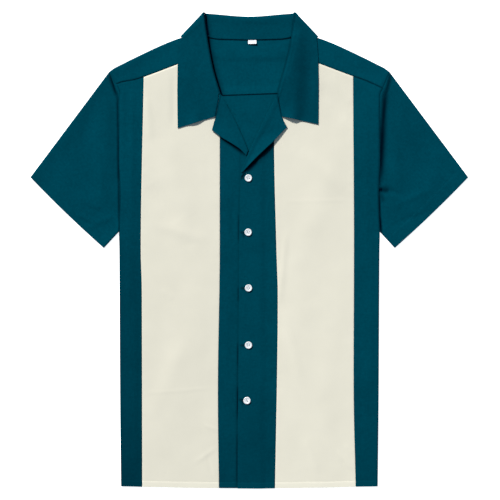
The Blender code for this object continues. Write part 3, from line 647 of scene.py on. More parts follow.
class Surface:
    """A smooth surface through a grid of points, whose lines may be unevenly spaced."""

    def __init__(self, rows: Sequence[Sequence[Vector]]) -> None:
        """Keeps the rows of points, each with as many points."""
        self.rows = rows

    @staticmethod
    def between(points: Sequence[Vector], at: float) -> Vector:
        """A place on the smooth curve through points.

        Args:
            points: the curve's points.
            at: the place, counted in points from the first.

        Returns:
            The curve's point there.
        """
        index = min(int(at), len(points) - 2)
        t = at - index
        start, end = points[index], points[index + 1]
        before, after = points[max(index - 1, 0)], points[min(index + 2, len(points) - 1)]
        run = (end - start).length
        if run < 1e-6:
            return start.lerp(end, t)
        leave = arrive = ahead = (end - start) / run
        back_run, next_run = (start - before).length, (after - end).length
        if back_run > 1e-6:
            leave = ((start - before) / back_run * run + ahead * back_run) / (run + back_run)
        if next_run > 1e-6:
            arrive = ((after - end) / next_run * run + ahead * next_run) / (run + next_run)
        pull = leave * (t * (1.0 - t) ** 2 * run) - arrive * (t * t * (1.0 - t) * run)
        return start.lerp(end, t * t * (3.0 - 2.0 * t)) + pull

    @staticmethod
    def places(lines: Sequence[Sequence[Vector]], step: float) -> list[float]:
        """Places across lines of points, close enough for a step on every line, counted in points.

        Args:
            lines: the lines, each with as many points.
            step: the widest step.

        Returns:
            The places.
        """
        places = [0.0]
        for index in range(len(lines[0]) - 1):
            run = max((line[index + 1] - line[index]).length for line in lines)
            count = max(math.ceil(run / step), 1)
            places += [index + (part + 1) / count for part in range(count)]
        return places

    def rows_at(self, step: float) -> list[float]:
        """Where to read the surface up its rows."""
        return self.places(list(zip(*self.rows)), step)

    def columns_at(self, step: float) -> list[float]:
        """Where to read the surface across its columns."""
        return self.places(self.rows, step)

    def at(self, row: float, column: float) -> Vector:
        """The surface's point at a place counted in rows and columns.

        Args:
            row, column: the place.

        Returns:
            The point.
        """
        low = max(min(int(row) - 1, len(self.rows) - 1), 0)
        near = range(low, min(low + 4, len(self.rows)))
        return self.between([self.between(self.rows[index], column) for index in near], row - low)


SEWN = (0.0, 0.5, 1.1, 1.9, 3.0)
FOLDED = (0.0, 0.18, 0.7, 1.45, 2.4, 4.0)
HEMMED = (0.0, 0.5, 1.4, 3.4, 6.0, 8.0, 8.8, 9.5, 10.2, 11.2, 13.0)
CUFFED = (0.0, 0.5, 1.4, 4.0, 7.0, 10.0, 13.0, 16.0, 18.2, 19.2, 20.0, 20.8, 22.0, 24.0)


def spread(
    length: float, step: float, low: Sequence[float] = SEWN, high: Sequence[float] = SEWN
) -> list[float]:
    """Shares of a length for a grid's lines, which crowd together at its ends.

    Args:
        length: the length.
        step: the spacing between the ends.
        low, high: how far in from each end its own lines lie.

    Returns:
        The shares, from 0 to 1.
    """
    inner = length - low[-1] - high[-1]
    count = max(round(inner / step), 1)
    lines = [*low[:-1], *(low[-1] + inner * index / count for index in range(count + 1))]
    lines += [length - end for end in reversed(high[:-1])]
    return [line / length for line in lines]


Placer = Callable[[float, float], Vector]


class Cloth:
    """A piece of cloth: grids that are laid point by point, joined, and given a wall."""

    def __init__(
        self, name: str, grain: float = 0.0, tone: Callable[[Vector], float] = lambda spot: 1.0
    ) -> None:
        """Starts an empty piece, with its warp turned by the grain in degrees, and with a painted shade for
        its cloth.

        Args:
            name: its name in the scene.
            grain: how far its warp is turned, in degrees.
            tone: the painted shade of its cloth at a point, which scales its colour.
        """
        self.name = name
        self.tone = tone
        self.turn = Matrix.Rotation(math.radians(grain), 2)
        self.shape = bmesh.new()
        self.layer = self.shape.loops.layers.uv.new("Cloth")
        self.doubled = self.shape.verts.layers.float.new("doubled")
        # Each point carries its painted shade, which the finish multiplies into the colour on faces that look
        # up.
        self.shade = self.shape.verts.layers.float.new("tone")

    def lay(
        self, columns: Sequence[float], rows: Sequence[float], place: Placer, flipped: bool = False,
        doubled: Callable[[Vector], float] = lambda spot: 0.0,
    ) -> None:
        """Adds a grid and moves each of its points to its place.

        Args:
            columns, rows: the values that the grid's lines stand for.
            place: gives the point for a column's and a row's value.
            flipped: whether the grid's faces are turned over.
            doubled: how far the cloth at a point is folded double, from 0 to 1.
        """
        across, up = len(columns) - 1, len(rows) - 1
        verts = bmesh.ops.create_grid(self.shape, x_segments=across, y_segments=up, size=1.0)["verts"]
        for vert in verts:
            column = round((vert.co.x + 1.0) / 2.0 * across)
            row = round((vert.co.y + 1.0) / 2.0 * up)
            spot = place(columns[column], rows[row])
            vert.co = spot * MM
            vert[self.doubled] = doubled(spot)
            vert[self.shade] = self.tone(spot)
        faces = {face for vert in verts for face in vert.link_faces}
        for loop in (loop for face in faces for loop in face.loops):
            loop[self.layer].uv = self.turn @ loop.vert.co.xy
        if flipped:
            bmesh.ops.reverse_faces(self.shape, faces=list(faces))

    def finish(
        self, dress: "Dress", slot: Slot, replaces: str, cut: tuple[float, float],
        area: float | None = None, rests_on: Sequence[str] = (), wall: float = THIN,
    ) -> bpy.types.Object:
        """Args:
            dress: the wardrobe of finishes.
            slot: the slot whose finish it takes.
            replaces: the frame's node that it stands for.
            cut: the width and length that it is cut from, in metres; not used.
            area: the flat area of its cut, in square metres; not used.
            rests_on: the names of what it lies on; not used.
            wall: its thickness.

        Returns:
            The finished object.
        """
        bmesh.ops.remove_doubles(self.shape, verts=self.shape.verts, dist=0.02 * MM)
        laid = sum(face.calc_area() for face in self.shape.faces)
        piece = link(self.name, mesh_of(self.shape, self.name), dress.of(slot), slot)
        solid = piece.modifiers.new("Wall", "SOLIDIFY")
        solid.thickness = wall * MM
        solid.offset = -1.0
        rim = piece.modifiers.new("Rim", "BEVEL")
        rim.limit_method = "ANGLE"
        rim.angle_limit = math.radians(55.0)
        rim.width = 0.32 * wall * MM
        rim.segments = 2
        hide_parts(replaces)
        LOG.info("%s: %.5f square metres laid", self.name, laid)
        return piece


def link(name: str, mesh: bpy.types.Mesh, finish: bpy.types.Material, slot: Slot) -> bpy.types.Object:
    """Puts a mesh in the scene as a piece that rides on the shirt, in a finish.

    Args:
        name: its name in the scene.
        mesh: its mesh.
        finish: its material.
        slot: the record's slot that it goes with; not used.

    Returns:
        The new piece.
    """
    mesh.materials.append(finish)
    piece = bpy.data.objects.new(name, mesh)
    bpy.context.scene.collection.objects.link(piece)
    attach(piece, "root")
    return piece


class Socket:
    """A node's output, with the arithmetic that shader maths is written in."""

    def __init__(self, shader: "Shader", link: bpy.types.NodeSocket) -> None:
        """Wraps an output of a material under construction."""
        self.shader, self.link = shader, link

    def math(self, operation: str, *values: "Socket | float", clamp: bool = False) -> "Socket":
        """A Math node on this value and others."""
        inputs = dict(enumerate((self, *values)))
        return self.shader.node("ShaderNodeMath", {"operation": operation, "use_clamp": clamp}, inputs)

    def __add__(self, other: "Socket | float") -> "Socket":
        """This value plus another."""
        return self.math("ADD", other)

    def __sub__(self, other: "Socket | float") -> "Socket":
        """This value less another."""
        return self.math("SUBTRACT", other)

    def __rsub__(self, other: float) -> "Socket":
        """A number less this value."""
        return self.math("MULTIPLY", -1.0).math("ADD", other)

    def __mul__(self, other: "Socket | float") -> "Socket":
        """This value times another."""
        return self.math("MULTIPLY", other)

    def __truediv__(self, other: "Socket | float") -> "Socket":
        """This value divided by another."""
        return self.math("DIVIDE", other)

    def __gt__(self, other: "Socket | float") -> "Socket":
        """1 where this value is above another, and 0 elsewhere."""
        return self.math("GREATER_THAN", other)

    def __abs__(self) -> "Socket":
        """This value without its sign."""
        return self.math("ABSOLUTE")

    __radd__ = __add__
    __rmul__ = __mul__

    def wave(self) -> "Socket":
        """The sine of this value."""
        return self.math("SINE")

    def between(self, low: float, high: float) -> "Socket":
        """0 where this value is low, 1 where it is high, and a straight line between, without end stops."""
        return ((self - low) / (high - low)).math("MAXIMUM", 0.0).math("MINIMUM", 1.0)


class Shader:
    """A material under construction: a Principled surface and the nodes behind it."""

    def __init__(self, name: str) -> None:
        """Makes the material.

        Args:
            name: the material's name.
        """
        self.material = bpy.data.materials.new(name)
        self.material.use_nodes = True
        self.tree = self.material.node_tree
        self.surface = self.tree.nodes["Principled BSDF"]

    def node(
        self, kind: str, settings: dict[str, object] | None = None,
        inputs: dict[int | str, object] | None = None, output: int | str = 0,
    ) -> Socket:
        """Adds any node.

        Args:
            kind: the node's type.
            settings: its own settings, set first.
            inputs: the values or links of its sockets, by name or place.
            output: the output that is wanted.

        Returns:
            That output, wrapped.
        """
        made = self.tree.nodes.new(kind)
        for name, value in (settings or {}).items():
            setattr(made, name, value)
        for place, value in (inputs or {}).items():
            self.feed(made.inputs[place], value)
        return Socket(self, made.outputs[output])

    def feed(self, socket: bpy.types.NodeSocket, value: object) -> None:
        """Links an output to a socket, or sets the socket's value.

        Args:
            socket: the socket.
            value: an output, or a value of the socket's kind.
        """
        if isinstance(value, Socket):
            self.tree.links.new(value.link, socket)
        else:
            socket.default_value = value

    def set(self, **values: object) -> None:
        """Sets or links the surface's sockets, named with underscores for spaces."""
        for name, value in values.items():
            self.feed(self.surface.inputs[name.replace("_", " ")], value)

    def noise(self, vector: Socket, scale: float, detail: float = 2.0, roughness: float = 0.5) -> Socket:
        """Noise from 0 to 1 at a place."""
        inputs = {"Vector": vector, "Scale": scale, "Detail": detail, "Roughness": roughness}
        return self.node("ShaderNodeTexNoise", {}, inputs)

    def mapped(self, vector: Socket, scale: tuple[float, float, float], turn: float = 0.0) -> Socket:
        """A vector stretched and turned."""
        inputs = {"Vector": vector, "Scale": scale, "Rotation": (0.0, 0.0, turn)}
        return self.node("ShaderNodeMapping", {}, inputs)

    def mix(self, share: Socket | float, first: object, second: object) -> Socket:
        """One colour blended into another."""
        return self.node("ShaderNodeMix", {"data_type": "RGBA"}, {0: share, 6: first, 7: second}, 2)

    def place(self, output: str = "Object") -> Socket:
        """The place on the object, or its normal there."""
        return self.node("ShaderNodeTexCoord", output=output)

    def attribute(self, name: str) -> Socket:
        """A number that the mesh carries at its points."""
        return self.node("ShaderNodeAttribute", {"attribute_name": name}, output="Fac")

    def bump(self, height: Socket, strength: float, distance: float) -> Socket:
        """A normal bent by a height, for a distance in metres."""
        inputs = {"Height": height, "Strength": strength, "Distance": distance}
        return self.node("ShaderNodeBump", {}, inputs)


Colour = tuple[float, float, float]


def rgba(colour: Colour, lighter: float = 1.0) -> tuple[float, float, float, float]:
    """A colour with its alpha, made lighter or darker."""
    return (colour[0] * lighter, colour[1] * lighter, colour[2] * lighter, 1.0)


@dataclass(frozen=True)
class Finish:
    """A named finish with one main colour."""

    name: str
    colour: Colour

    def paint(self, shader: Shader) -> None:
        """Sets the surface of a material under construction, in each kind of finish its own way."""

    def make(self) -> bpy.types.Material:
        """Makes the finish's material.

        Returns:
            The material.
        """
        shader = Shader(self.name)
        self.paint(shader)
        return shader.material


@dataclass(frozen=True)
class Cotton(Finish):
    """Plain-woven cotton: two sets of threads, slubs in both, and the soft unevenness of its dye."""

    deep: Colour
    doubled: Colour
    thread: float = 0.00042
    slub: float = 0.5
    mottle: float = 0.0
    # The tint that painted shade adds, in full where all light is painted out: a painted shadow's blue.
    shadow_tint: Colour = (0.0, 0.0, 0.0)
    roughness: float = 0.88
    relief: float = 0.00006

    @staticmethod
    def weave(shader: Shader, cloth: Socket, thread: float) -> Socket:
        """The height of the woven threads, which cross over and under each other.

        Args:
            shader: the material under construction.
            cloth: the place on the cloth.
            thread: the width of a thread.

        Returns:
            The height, from 0 to 1.
        """
        sway = (shader.noise(cloth, 260.0, 1.0) - 0.5) * (thread * 0.5)
        parts = shader.node("ShaderNodeSeparateXYZ", {}, {0: cloth})
        axes = (parts, Socket(shader, parts.link.node.outputs["Y"]))
        warp, weft = (((axis + sway) * (math.pi / thread)).wave() for axis in axes)
        over = (warp * weft) > 0.0
        warp, weft = abs(warp), abs(weft)
        return over * (warp * (0.6 + 0.4 * weft)) + (1.0 - over) * (weft * (0.6 + 0.4 * warp))

    def paint(self, shader: Shader) -> None:
        """Weaves and dyes the cloth, and paints light and shade into it as its mesh's painted shade says, on
        the faces that look up, with a blue tint where it is painted dark.

        Args:
            shader: the material under construction.
        """
        cloth = shader.node("ShaderNodeUVMap", {"uv_map": "Cloth"})
        place = shader.place()
        weave = self.weave(shader, cloth, self.thread)
        scales = ((1900.0, 55.0, 1.0), (60.0, 1700.0, 1.0))
        warp, weft = (shader.noise(shader.mapped(cloth, scale), 1.0, 1.0) for scale in scales)
        slubs = (warp + weft) * 0.5
        dye = shader.noise(place, 19.0, 3.0, 0.6)
        mottle = shader.noise(place, 230.0, 2.0, 0.7)
        depth = 0.5 + (slubs - 0.5) * self.slub + (dye - 0.5) * 0.9 + (weave - 0.6) * 0.16
        depth = depth + (mottle - 0.5) * self.mottle
        colour = shader.mix(depth.between(0.1, 0.9), rgba(self.deep), rgba(self.colour))
        colour = shader.mix(shader.attribute("doubled"), colour, rgba(self.doubled))
        # Painted shade and light: the mesh's painted shade scales the colour on faces that look up, and adds
        # a blue tint where it darkens.
        upward = shader.node("ShaderNodeSeparateXYZ", {}, {0: shader.place("Normal")}, "Z").between(-0.1, 0.1)
        shade = 1.0 + (shader.attribute("tone") - 1.0) * upward
        colour = shader.node("ShaderNodeVectorMath", {"operation": "MULTIPLY"}, {0: colour, 1: shade})
        painted_shadow = {0: 1.0 - shade, 1: self.shadow_tint, 2: colour}
        shader.set(
            Base_Color=shader.node("ShaderNodeVectorMath", {"operation": "MULTIPLY_ADD"}, painted_shadow),
            Roughness=self.roughness + (shader.noise(place, 1500.0, 2.0) - 0.5) * 0.12,
            Normal=shader.bump(weave * 0.7 + slubs * 0.6, 0.55, self.relief),
            Specular_IOR_Level=0.0,
            Sheen_Weight=0.12,
            Sheen_Roughness=0.5,
            Sheen_Tint=rgba(self.colour, 1.0 / max(self.colour)),
        )
        shader.material.diffuse_color = rgba(self.colour)


@dataclass(frozen=True)
class Thread(Finish):
    """Sewing thread, twisted along its stitch."""

    def paint(self, shader: Shader) -> None:
        """Twists light and dark strands together.

        Args:
            shader: the material under construction.
        """
        twist = shader.noise(shader.mapped(shader.place(), (2600.0, 1400.0, 2600.0), 0.6), 1.0, 1.0)
        shader.set(
            Base_Color=shader.mix(twist, rgba(self.colour, 0.82), rgba(self.colour, 1.15)),
            Roughness=0.62 + (twist - 0.5) * 0.2,
            Normal=shader.bump(twist, 0.4, 0.00008),
            Specular_IOR_Level=0.05,
        )


@dataclass(frozen=True)
class Resin(Finish):
    """Cast button resin: milky, with a faint pearl in it and a polished face."""

    shade: Colour

    def paint(self, shader: Shader) -> None:
        """Clouds the resin and scuffs its coat a little.

        Args:
            shader: the material under construction.
        """
        place = shader.place()
        cloud = shader.noise(shader.mapped(place, (180.0, 420.0, 180.0), 0.5), 1.0, 3.0, 0.6)
        grain = shader.noise(place, 900.0, 2.0)
        shader.set(
            Base_Color=shader.mix(cloud.between(0.3, 0.75), rgba(self.shade), rgba(self.colour)),
            Roughness=0.24 + (grain - 0.5) * 0.12,
            Coat_Weight=0.35 + (cloud - 0.5) * 0.3,
            Normal=shader.bump(grain, 0.15, 0.00006),
            Coat_Roughness=0.12,
            Specular_IOR_Level=0.5,
        )


@dataclass(frozen=True)
class Tape(Finish):
    """Woven label tape with a satin face."""

    def paint(self, shader: Shader) -> None:
        """Weaves the tape's fine rows.

        Args:
            shader: the material under construction.
        """
        cloth = shader.node("ShaderNodeUVMap", {"uv_map": "Cloth"})
        rows = shader.noise(shader.mapped(cloth, (300.0, 5200.0, 1.0)), 1.0, 1.0)
        depth = rows * 0.6 + shader.noise(cloth, 220.0, 2.0) * 0.4
        shader.set(
            Base_Color=shader.mix(depth.between(0.25, 0.75), rgba(self.colour, 0.9), rgba(self.colour)),
            Roughness=0.5 + (rows - 0.5) * 0.2,
            Normal=shader.bump(rows, 0.5, 0.00008),
            Specular_IOR_Level=0.3,
        )


@dataclass(frozen=True)
class Paper(Finish):
    """The studio's pale sweep, which the shirt lies on, lit a little from below."""

    glow: float = 0.9

    def paint(self, shader: Shader) -> None:
        """Gives the sweep its faint tooth and its glow.

        Args:
            shader: the material under construction.
        """
        tooth = shader.noise(shader.place(), 240.0, 3.0)
        shader.set(
            Base_Color=shader.mix(tooth, rgba(self.colour, 0.985), rgba(self.colour)),
            Roughness=0.95,
            Specular_IOR_Level=0.0,
            Emission_Color=rgba(self.colour),
            Emission_Strength=self.glow,
        )


@dataclass
class Dress:
    """Every finish of the shirt, made once."""

    # The teal's painted shade is given a blue tint.
    teal: Cotton = Cotton(
        "teal_cotton_cloth", (0.0, 0.0535, 0.083), (0.0, 0.039, 0.0615), (0.0, 0.05, 0.077),
        slub=1.6, mottle=1.25, shadow_tint=(0.0, 0.0005, 0.005),
    )
    cream: Cotton = Cotton(
        "cream_cotton_cloth", (0.712, 0.696, 0.594), (0.668, 0.653, 0.556), (0.73, 0.716, 0.613)
    )
    teal_thread: Thread = Thread("teal_thread", (0.0015, 0.057, 0.086))
    # The buttonhole thread is painted darker than the teal: painted shade in the buttonholes.
    shaded_buttonhole_thread: Thread = Thread("buttonhole_teal_thread_painted_shade", (0.0, 0.033, 0.052))
    cream_thread: Thread = Thread("cream_thread", (0.78, 0.76, 0.66))
    white_thread: Thread = Thread("white_thread", (0.46, 0.49, 0.53))
    shadow: Thread = Thread("buttonhole_shadow", (0.0006, 0.004, 0.006))
    resin: Resin = Resin("button_resin_cast", (0.86, 0.89, 0.91), (0.66, 0.7, 0.74))
    tape: Tape = Tape("white_tape", (0.8, 0.85, 0.9))
    paper: Paper = Paper("studio_sweep", (0.93, 0.93, 0.93))
    made: dict[str, bpy.types.Material] = field(default_factory=dict)

    def get(self, finish: Finish) -> bpy.types.Material:
        """A finish's material, made on first use.

        Args:
            finish: the finish.

        Returns:
            Its material.
        """
        if finish.name not in self.made:
            self.made[finish.name] = finish.make()
        return self.made[finish.name]

    def of(self, slot: Slot) -> bpy.types.Material:
        """The material of a record's slot."""
        finishes = dict(zip(Slot, (self.teal, self.cream, self.tape, self.resin)))
        return self.get(finishes[slot])


# The body's rows stand for these levels, which each column stretches to its own hem and top edge.
HEM_LEVEL = -404.0
TOP_LEVEL = 276.0
NOWHERE = 1000.0


def body_levels(step: float) -> list[float]:
    """The levels of the body's rows, from the hem to the underarm and then to its top edge.

    Args:
        step: the widest step between two rows.

    Returns:
        The levels.
    """
    lower = spread(CUT.underarm - HEM_LEVEL, step, HEMMED, (0.0,))
    upper = spread(TOP_LEVEL - CUT.underarm, step, FOLDED, SEWN)
    levels = [blend(HEM_LEVEL, CUT.underarm, share) for share in lower]
    return levels + [blend(CUT.underarm, TOP_LEVEL, share) for share in upper[1:]]


def level_height(level: float, hem: float, top: float) -> float:
    """A row's height in a column with its own hem and top edge.

    Args:
        level: the row's level.
        hem, top: the heights of the column's ends.

    Returns:
        The row's height.
    """
    if level <= CUT.underarm:
        return blend(hem, CUT.underarm, (level - HEM_LEVEL) / (CUT.underarm - HEM_LEVEL))
    return blend(CUT.underarm, top, (level - CUT.underarm) / (TOP_LEVEL - CUT.underarm))


@dataclass(frozen=True)
class Relief:
    """The fine shape of the fronts and the sleeves: their creases, seams, hems and folded edges."""

    least: float = 2.0 * THIN + 0.1
    rim_gap: float = 0.1
    rim_reach: float = 4.0
    rim_top: float = 2.4
    hem_double: float = 0.3
    groove_reach: float = 2.2

    @staticmethod
    def covered(x: float, y: float) -> float:
        """1 where a collar or lapel lies on the fronts, which keep smooth there, and 0 in the open."""
        collar = ease(206.0, 218.0, y) * fade(116.0, 128.0, abs(x))
        return max(collar, ease(118.0, 136.0, y) * fade(58.0, 74.0, abs(x)))

    @staticmethod
    def armhole_gap(side: Side, y: float) -> float:
        """How far the armhole seam has pulled open."""
        at, reach = side.pick(((276.0, 11.0), (106.0, 5.0)))
        return SEAM_GAP + 0.8 * hump(y - at, reach)

    @staticmethod
    def armhole_groove(side: Side, y: float) -> float:
        """How deep the cloth sinks at the armhole.

        Args:
            side: the half.
            y: the height along the armhole.

        Returns:
            The depth.
        """
        if side is Side.LEFT:
            return 0.35 + 0.9 * hump(y - 145.0, 45.0)
        return 0.4 + 0.7 * ease(84.0, 108.0, y) * fade(276.0, 296.0, y)

    def armhole(self, side: Side, away: float, y: float, seed: float) -> float:
        """What the armhole seam adds to the height at a distance from it."""
        return LAY.seam.rise(away, y, seed) - self.armhole_groove(side, y) * hump(away, self.groove_reach)

    def seams(self, side: Side, out: float, y: float, yoke: bool) -> float:
        """What the seams of the fronts add to the height of a place, on the yoke or below it.

        Args:
            side: the half.
            out, y: the place.
            yoke: whether it is on the yoke.

        Returns:
            The rise.
        """
        seed = 10.0 + 10.0 * side.value
        rise = LAY.seam.rise(abs(CUT.yoke_at(side, out) - y) * 0.93, out, seed + 1.0, 1.8)
        if y > CUT.underarm:
            rise += self.armhole(side, max(CUT.front_edge(side, y) - out, 0.0), y, seed + 2.0)
        if not yoke:
            for pair, offset in ((CUT.cream_inner, 3.0), (CUT.cream_outer, 4.0)):
                rise += LAY.seam.rise(abs(out - side.pick(pair).at(y)), y, seed + offset, 0.35)
            if side is Side.LEFT:
                lap = -out - CUT.lap[1].at(y)
                rise -= (0.4 + 0.8 * ease(-140.0, -175.0, y)) * hump(lap - 0.8, 2.0)
        return rise

    def top(self, side: Side, out: float, y: float, up: float = NOWHERE, yoke: bool = False) -> float:
        """The height of the fronts' upper face before the side edges turn down.

        Args:
            side: the half.
            out, y: the place.
            up: how far it is above the hem.
            yoke: whether it is on the yoke.

        Returns:
            The height there.
        """
        x = side.value * out
        bare = 1.0 - self.covered(x, y)
        rise = LAY.front(x, y) + LAY.drift(x, y) * (0.3 + 0.7 * bare) + LAY.lap_rise(side, out)
        rise += total(YOKE_CREASES if yoke else FRONT_CREASES, x, y) * bare + self.seams(side, out, y, yoke)
        rise += self.hem_double * fade(9.0, 10.3, up) + LAY.hem_seam.rise(abs(up - LAY.hem_turn), x, 44.0)
        return max(rise, self.least)

    def edge_radius(self, side: Side, y: float) -> float:
        """The radius at which the front turns down into the side seam."""
        return (self.top(side, CUT.body_edge.at(y), y) - self.rim_gap) / 2.0

    @staticmethod
    def turned(away: float, radius: float) -> float:
        """How far a fold's round edge has come up at a distance in from it, as a share of its radius."""
        return math.sqrt(max(1.0 - (1.0 - min(away / radius, 1.0)) ** 2, 0.0))

    def fallen(self, out: float, y: float, radius: float) -> float:
        """How far a place near the side fold lies down its round edge, of a radius.

        Args:
            out, y: the place.
            radius: the radius of the round edge.

        Returns:
            The drop.
        """
        away = max(CUT.body_edge.at(y) - out, 0.0)
        if away > self.rim_reach or y > CUT.underarm + self.rim_top:
            return 0.0
        flat = self.turned(max(y - CUT.underarm, 0.0), radius)
        return radius * (1.0 - max(self.turned(away, radius), flat))

    def front(self, side: Side, out: float, y: float, up: float) -> float:
        """The height of the fronts' upper face, turned down at the side seam."""
        top = self.top(side, out, y, up)
        return top - self.fallen(out, y, (top - self.rim_gap) / 2.0)


RELIEF = Relief()


class Panel(NamedTuple):
    """A panel of a front: its columns, its hem's sag, how far out its edges run, and its flat size."""

    name: str
    slot: Slot
    columns: list[float]
    sag: float
    inner: Callable[[float], float]
    outer: Callable[[float], float]
    cut: tuple[float, float]
    rests_on: tuple[str, ...]


@dataclass(frozen=True)
class Body:
    """The back, and the three panels of each front."""

    dress: Dress
    step: float = 2.5
    back_step: float = 5.0
    seam_gap: float = 0.05
    waver: float = 0.4
    hem_sags: tuple[float, float, float, float] = (2.4, 3.6, 3.5, 3.9)
    back_hem_rise: float = 1.0
    # The back's cloth is painted a little lighter: painted light.
    back_tone: float = 1.06
    widths: tuple[float, float, float, float] = (442.0, 41.0, 130.0, 66.0)

    def hem(self, sag: float, x: float) -> float:
        """How high a hem runs at a place across, with the unevenness of sewing."""
        return CUT.hem_at(abs(x), sag) + self.waver * ripple(x / 40.0, 0.0, 51.0)

    def tone(self, name: str, side: Side, spot: Vector) -> float:
        """The painted shade of a front panel's cloth at a point: its panel's painted shade by height, painted
        shade along the yoke seam and the armhole, and painted shadows on the placket and along the left
        band's lap.

        Args:
            name: the panel.
            side: the half.
            spot: the point.

        Returns:
            The share of light, 1 where it is the usual.
        """
        x, y, out = spot.x, spot.y, abs(spot.x)
        tone = PAINTED_PANEL_SHADES[side.name_of(name)].at(y)
        # Painted shade along the yoke seam and along the armhole.
        if name == "side_front":
            seam = min(abs(CUT.yoke_at(side, out) - y), CUT.front_edge(side, y) - out)
            tone *= 1.0 - 0.5 * hump(seam, 1.5)
        # Painted shadows on the placket, and painted shade beside the left band's lap edge.
        if name == "centre_band":
            dark = max(fold.rise(x, y) for fold in BAND_SHADOWS[side])
            lap = abs(x - CUT.lap[1].at(y)) if side is Side.LEFT else NOWHERE
            dark += (0.08 + 0.14 * ease(-140.0, -175.0, y)) * hump(lap - 1.0, 2.4)
            tone *= 1.0 - 0.96 * min(dark, 1.0)
        return tone

    @cached_property
    def top_edges(self) -> dict[Side, Track]:
        """The top edge of each front: behind its lapel's roll, along the neck, then along the yoke seam.

        Returns:
            Each half's edge, as its height by the distance out.
        """
        edges = {}
        for side, rows in LAPELS.items():
            points = [(root.x, root.y) for root in (lapel_root(side, index) for index in range(len(rows)))]
            points += [(out + 0.3, y) for y, out in CUT.front_neck.rows if 263.0 < y <= 334.0]
            points += [(out, CUT.yoke_at(side, out) - self.seam_gap) for out, _ in CUT.yoke_seam.rows[1:]]
            edges[side] = Track(tuple(points))
        return edges

    def front_spot(self, panel: Panel, side: Side, share: float, row: float) -> Vector:
        """A point of a front, whose distance out depends on its height and the other way round.

        Args:
            panel: the panel.
            side: the half.
            share: the column, from the panel's inner edge at 0 to its outer one at 1.
            row: the row's level.

        Returns:
            The point on the upper face.
        """
        y = row
        for _ in range(3):
            out = blend(panel.inner(y), panel.outer(y), share)
            hem = self.hem(panel.sag, side.value * out)
            y = level_height(row, hem, self.top_edges[side].at(out))
        return Vector((side.value * out, y, RELIEF.front(side, out, y, y - hem)))

    def panel(self, panel: Panel, side: Side) -> bpy.types.Object:
        """Builds one panel of a front.

        Args:
            panel: the panel.
            side: the half.

        Returns:
            The finished piece.
        """
        name = side.name_of(panel.name)
        cloth = Cloth(name + "_cloth", tone=lambda spot: self.tone(panel.name, side, spot))
        cloth.lay(
            panel.columns, body_levels(self.step),
            lambda share, row: self.front_spot(panel, side, share, row), flipped=side is Side.LEFT,
            doubled=lambda spot: fade(-0.5, 0.5, spot.y - self.hem(panel.sag, spot.x) - LAY.hem_turn),
        )
        return cloth.finish(self.dress, panel.slot, name, panel.cut, rests_on=panel.rests_on)

    def panels(self, side: Side) -> list[Panel]:
        """The panels of a front: the side's, the contrast one, and the band up to the lapel's roll.

        Args:
            side: the half.

        Returns:
            The panels, from the side seam to the middle.
        """
        inner, outer, lap = (side.pick(pair) for pair in (CUT.cream_inner, CUT.cream_outer, CUT.lap))
        gap, back = self.seam_gap, ("back_cloth",)
        _, side_width, cream_width, band_width = self.widths
        return [
            Panel(
                "side_front", Slot.TEAL, spread(side_width, self.step, SEWN, FOLDED), self.hem_sags[1],
                lambda y: outer.at(y) + gap, lambda y: CUT.front_edge(side, y), (0.046, 0.700), back,
            ),
            Panel(
                "cream_panel", Slot.CREAM, spread(cream_width, self.step), self.hem_sags[1],
                lambda y: inner.at(y) + gap, lambda y: outer.at(y) - gap, (0.140, 0.725), back,
            ),
            Panel(
                "centre_band", Slot.TEAL, spread(band_width, self.step), side.pick(self.hem_sags[2:]),
                lap.at, lambda y: inner.at(y) - gap, (0.080, 0.680),
                side.pick((back, back + ("centre_band_left_cloth",))),
            ),
        ]

    @staticmethod
    def back_tuck(out: float) -> float:
        """How far the back runs up under the lap of the yoke."""
        return 2.5 * fade(70.0, 90.0, out)

    def back_spot(self, share: float, row: float) -> Vector:
        """A point of the back's under face, turned up at the side seams.

        Args:
            share: the place across, from its left edge at -1 to its right edge at 1.
            row: the row's level.

        Returns:
            The point.
        """
        side, y = Side.at(share), row
        for _ in range(2):
            out = abs(share) * CUT.body_edge.at(y)
            x = side.value * out
            hem = self.hem(self.hem_sags[0], x) + self.back_hem_rise
            y = level_height(row, hem, CUT.back_seam_at(x) - self.seam_gap + self.back_tuck(out))
        rise = total(BACK_CREASES, x, y) + 0.25 * hump(y - hem - LAY.hem_turn, 1.0)
        rise = max(rise, 0.0) * ease(3.0, 24.0, CUT.body_edge.at(y) - out)
        return Vector((x, y, rise + RELIEF.fallen(out, y, RELIEF.edge_radius(side, y))))

    def back(self) -> bpy.types.Object:
        """Builds the whole back below the yoke, its outer face on the table.

        Returns:
            The finished piece.
        """
        cloth = Cloth("back_cloth", tone=lambda spot: self.back_tone)
        shares = [2.0 * share - 1.0 for share in spread(self.widths[0], self.back_step, FOLDED, FOLDED)]
        cloth.lay(shares, body_levels(self.back_step), self.back_spot, flipped=True)
        return cloth.finish(self.dress, Slot.TEAL, "back", (0.470, 0.700))

    def build(self) -> list[bpy.types.Object]:
        """Builds all seven panels."""
        return [self.back(), *(self.panel(panel, side) for side in Side for panel in self.panels(side))]


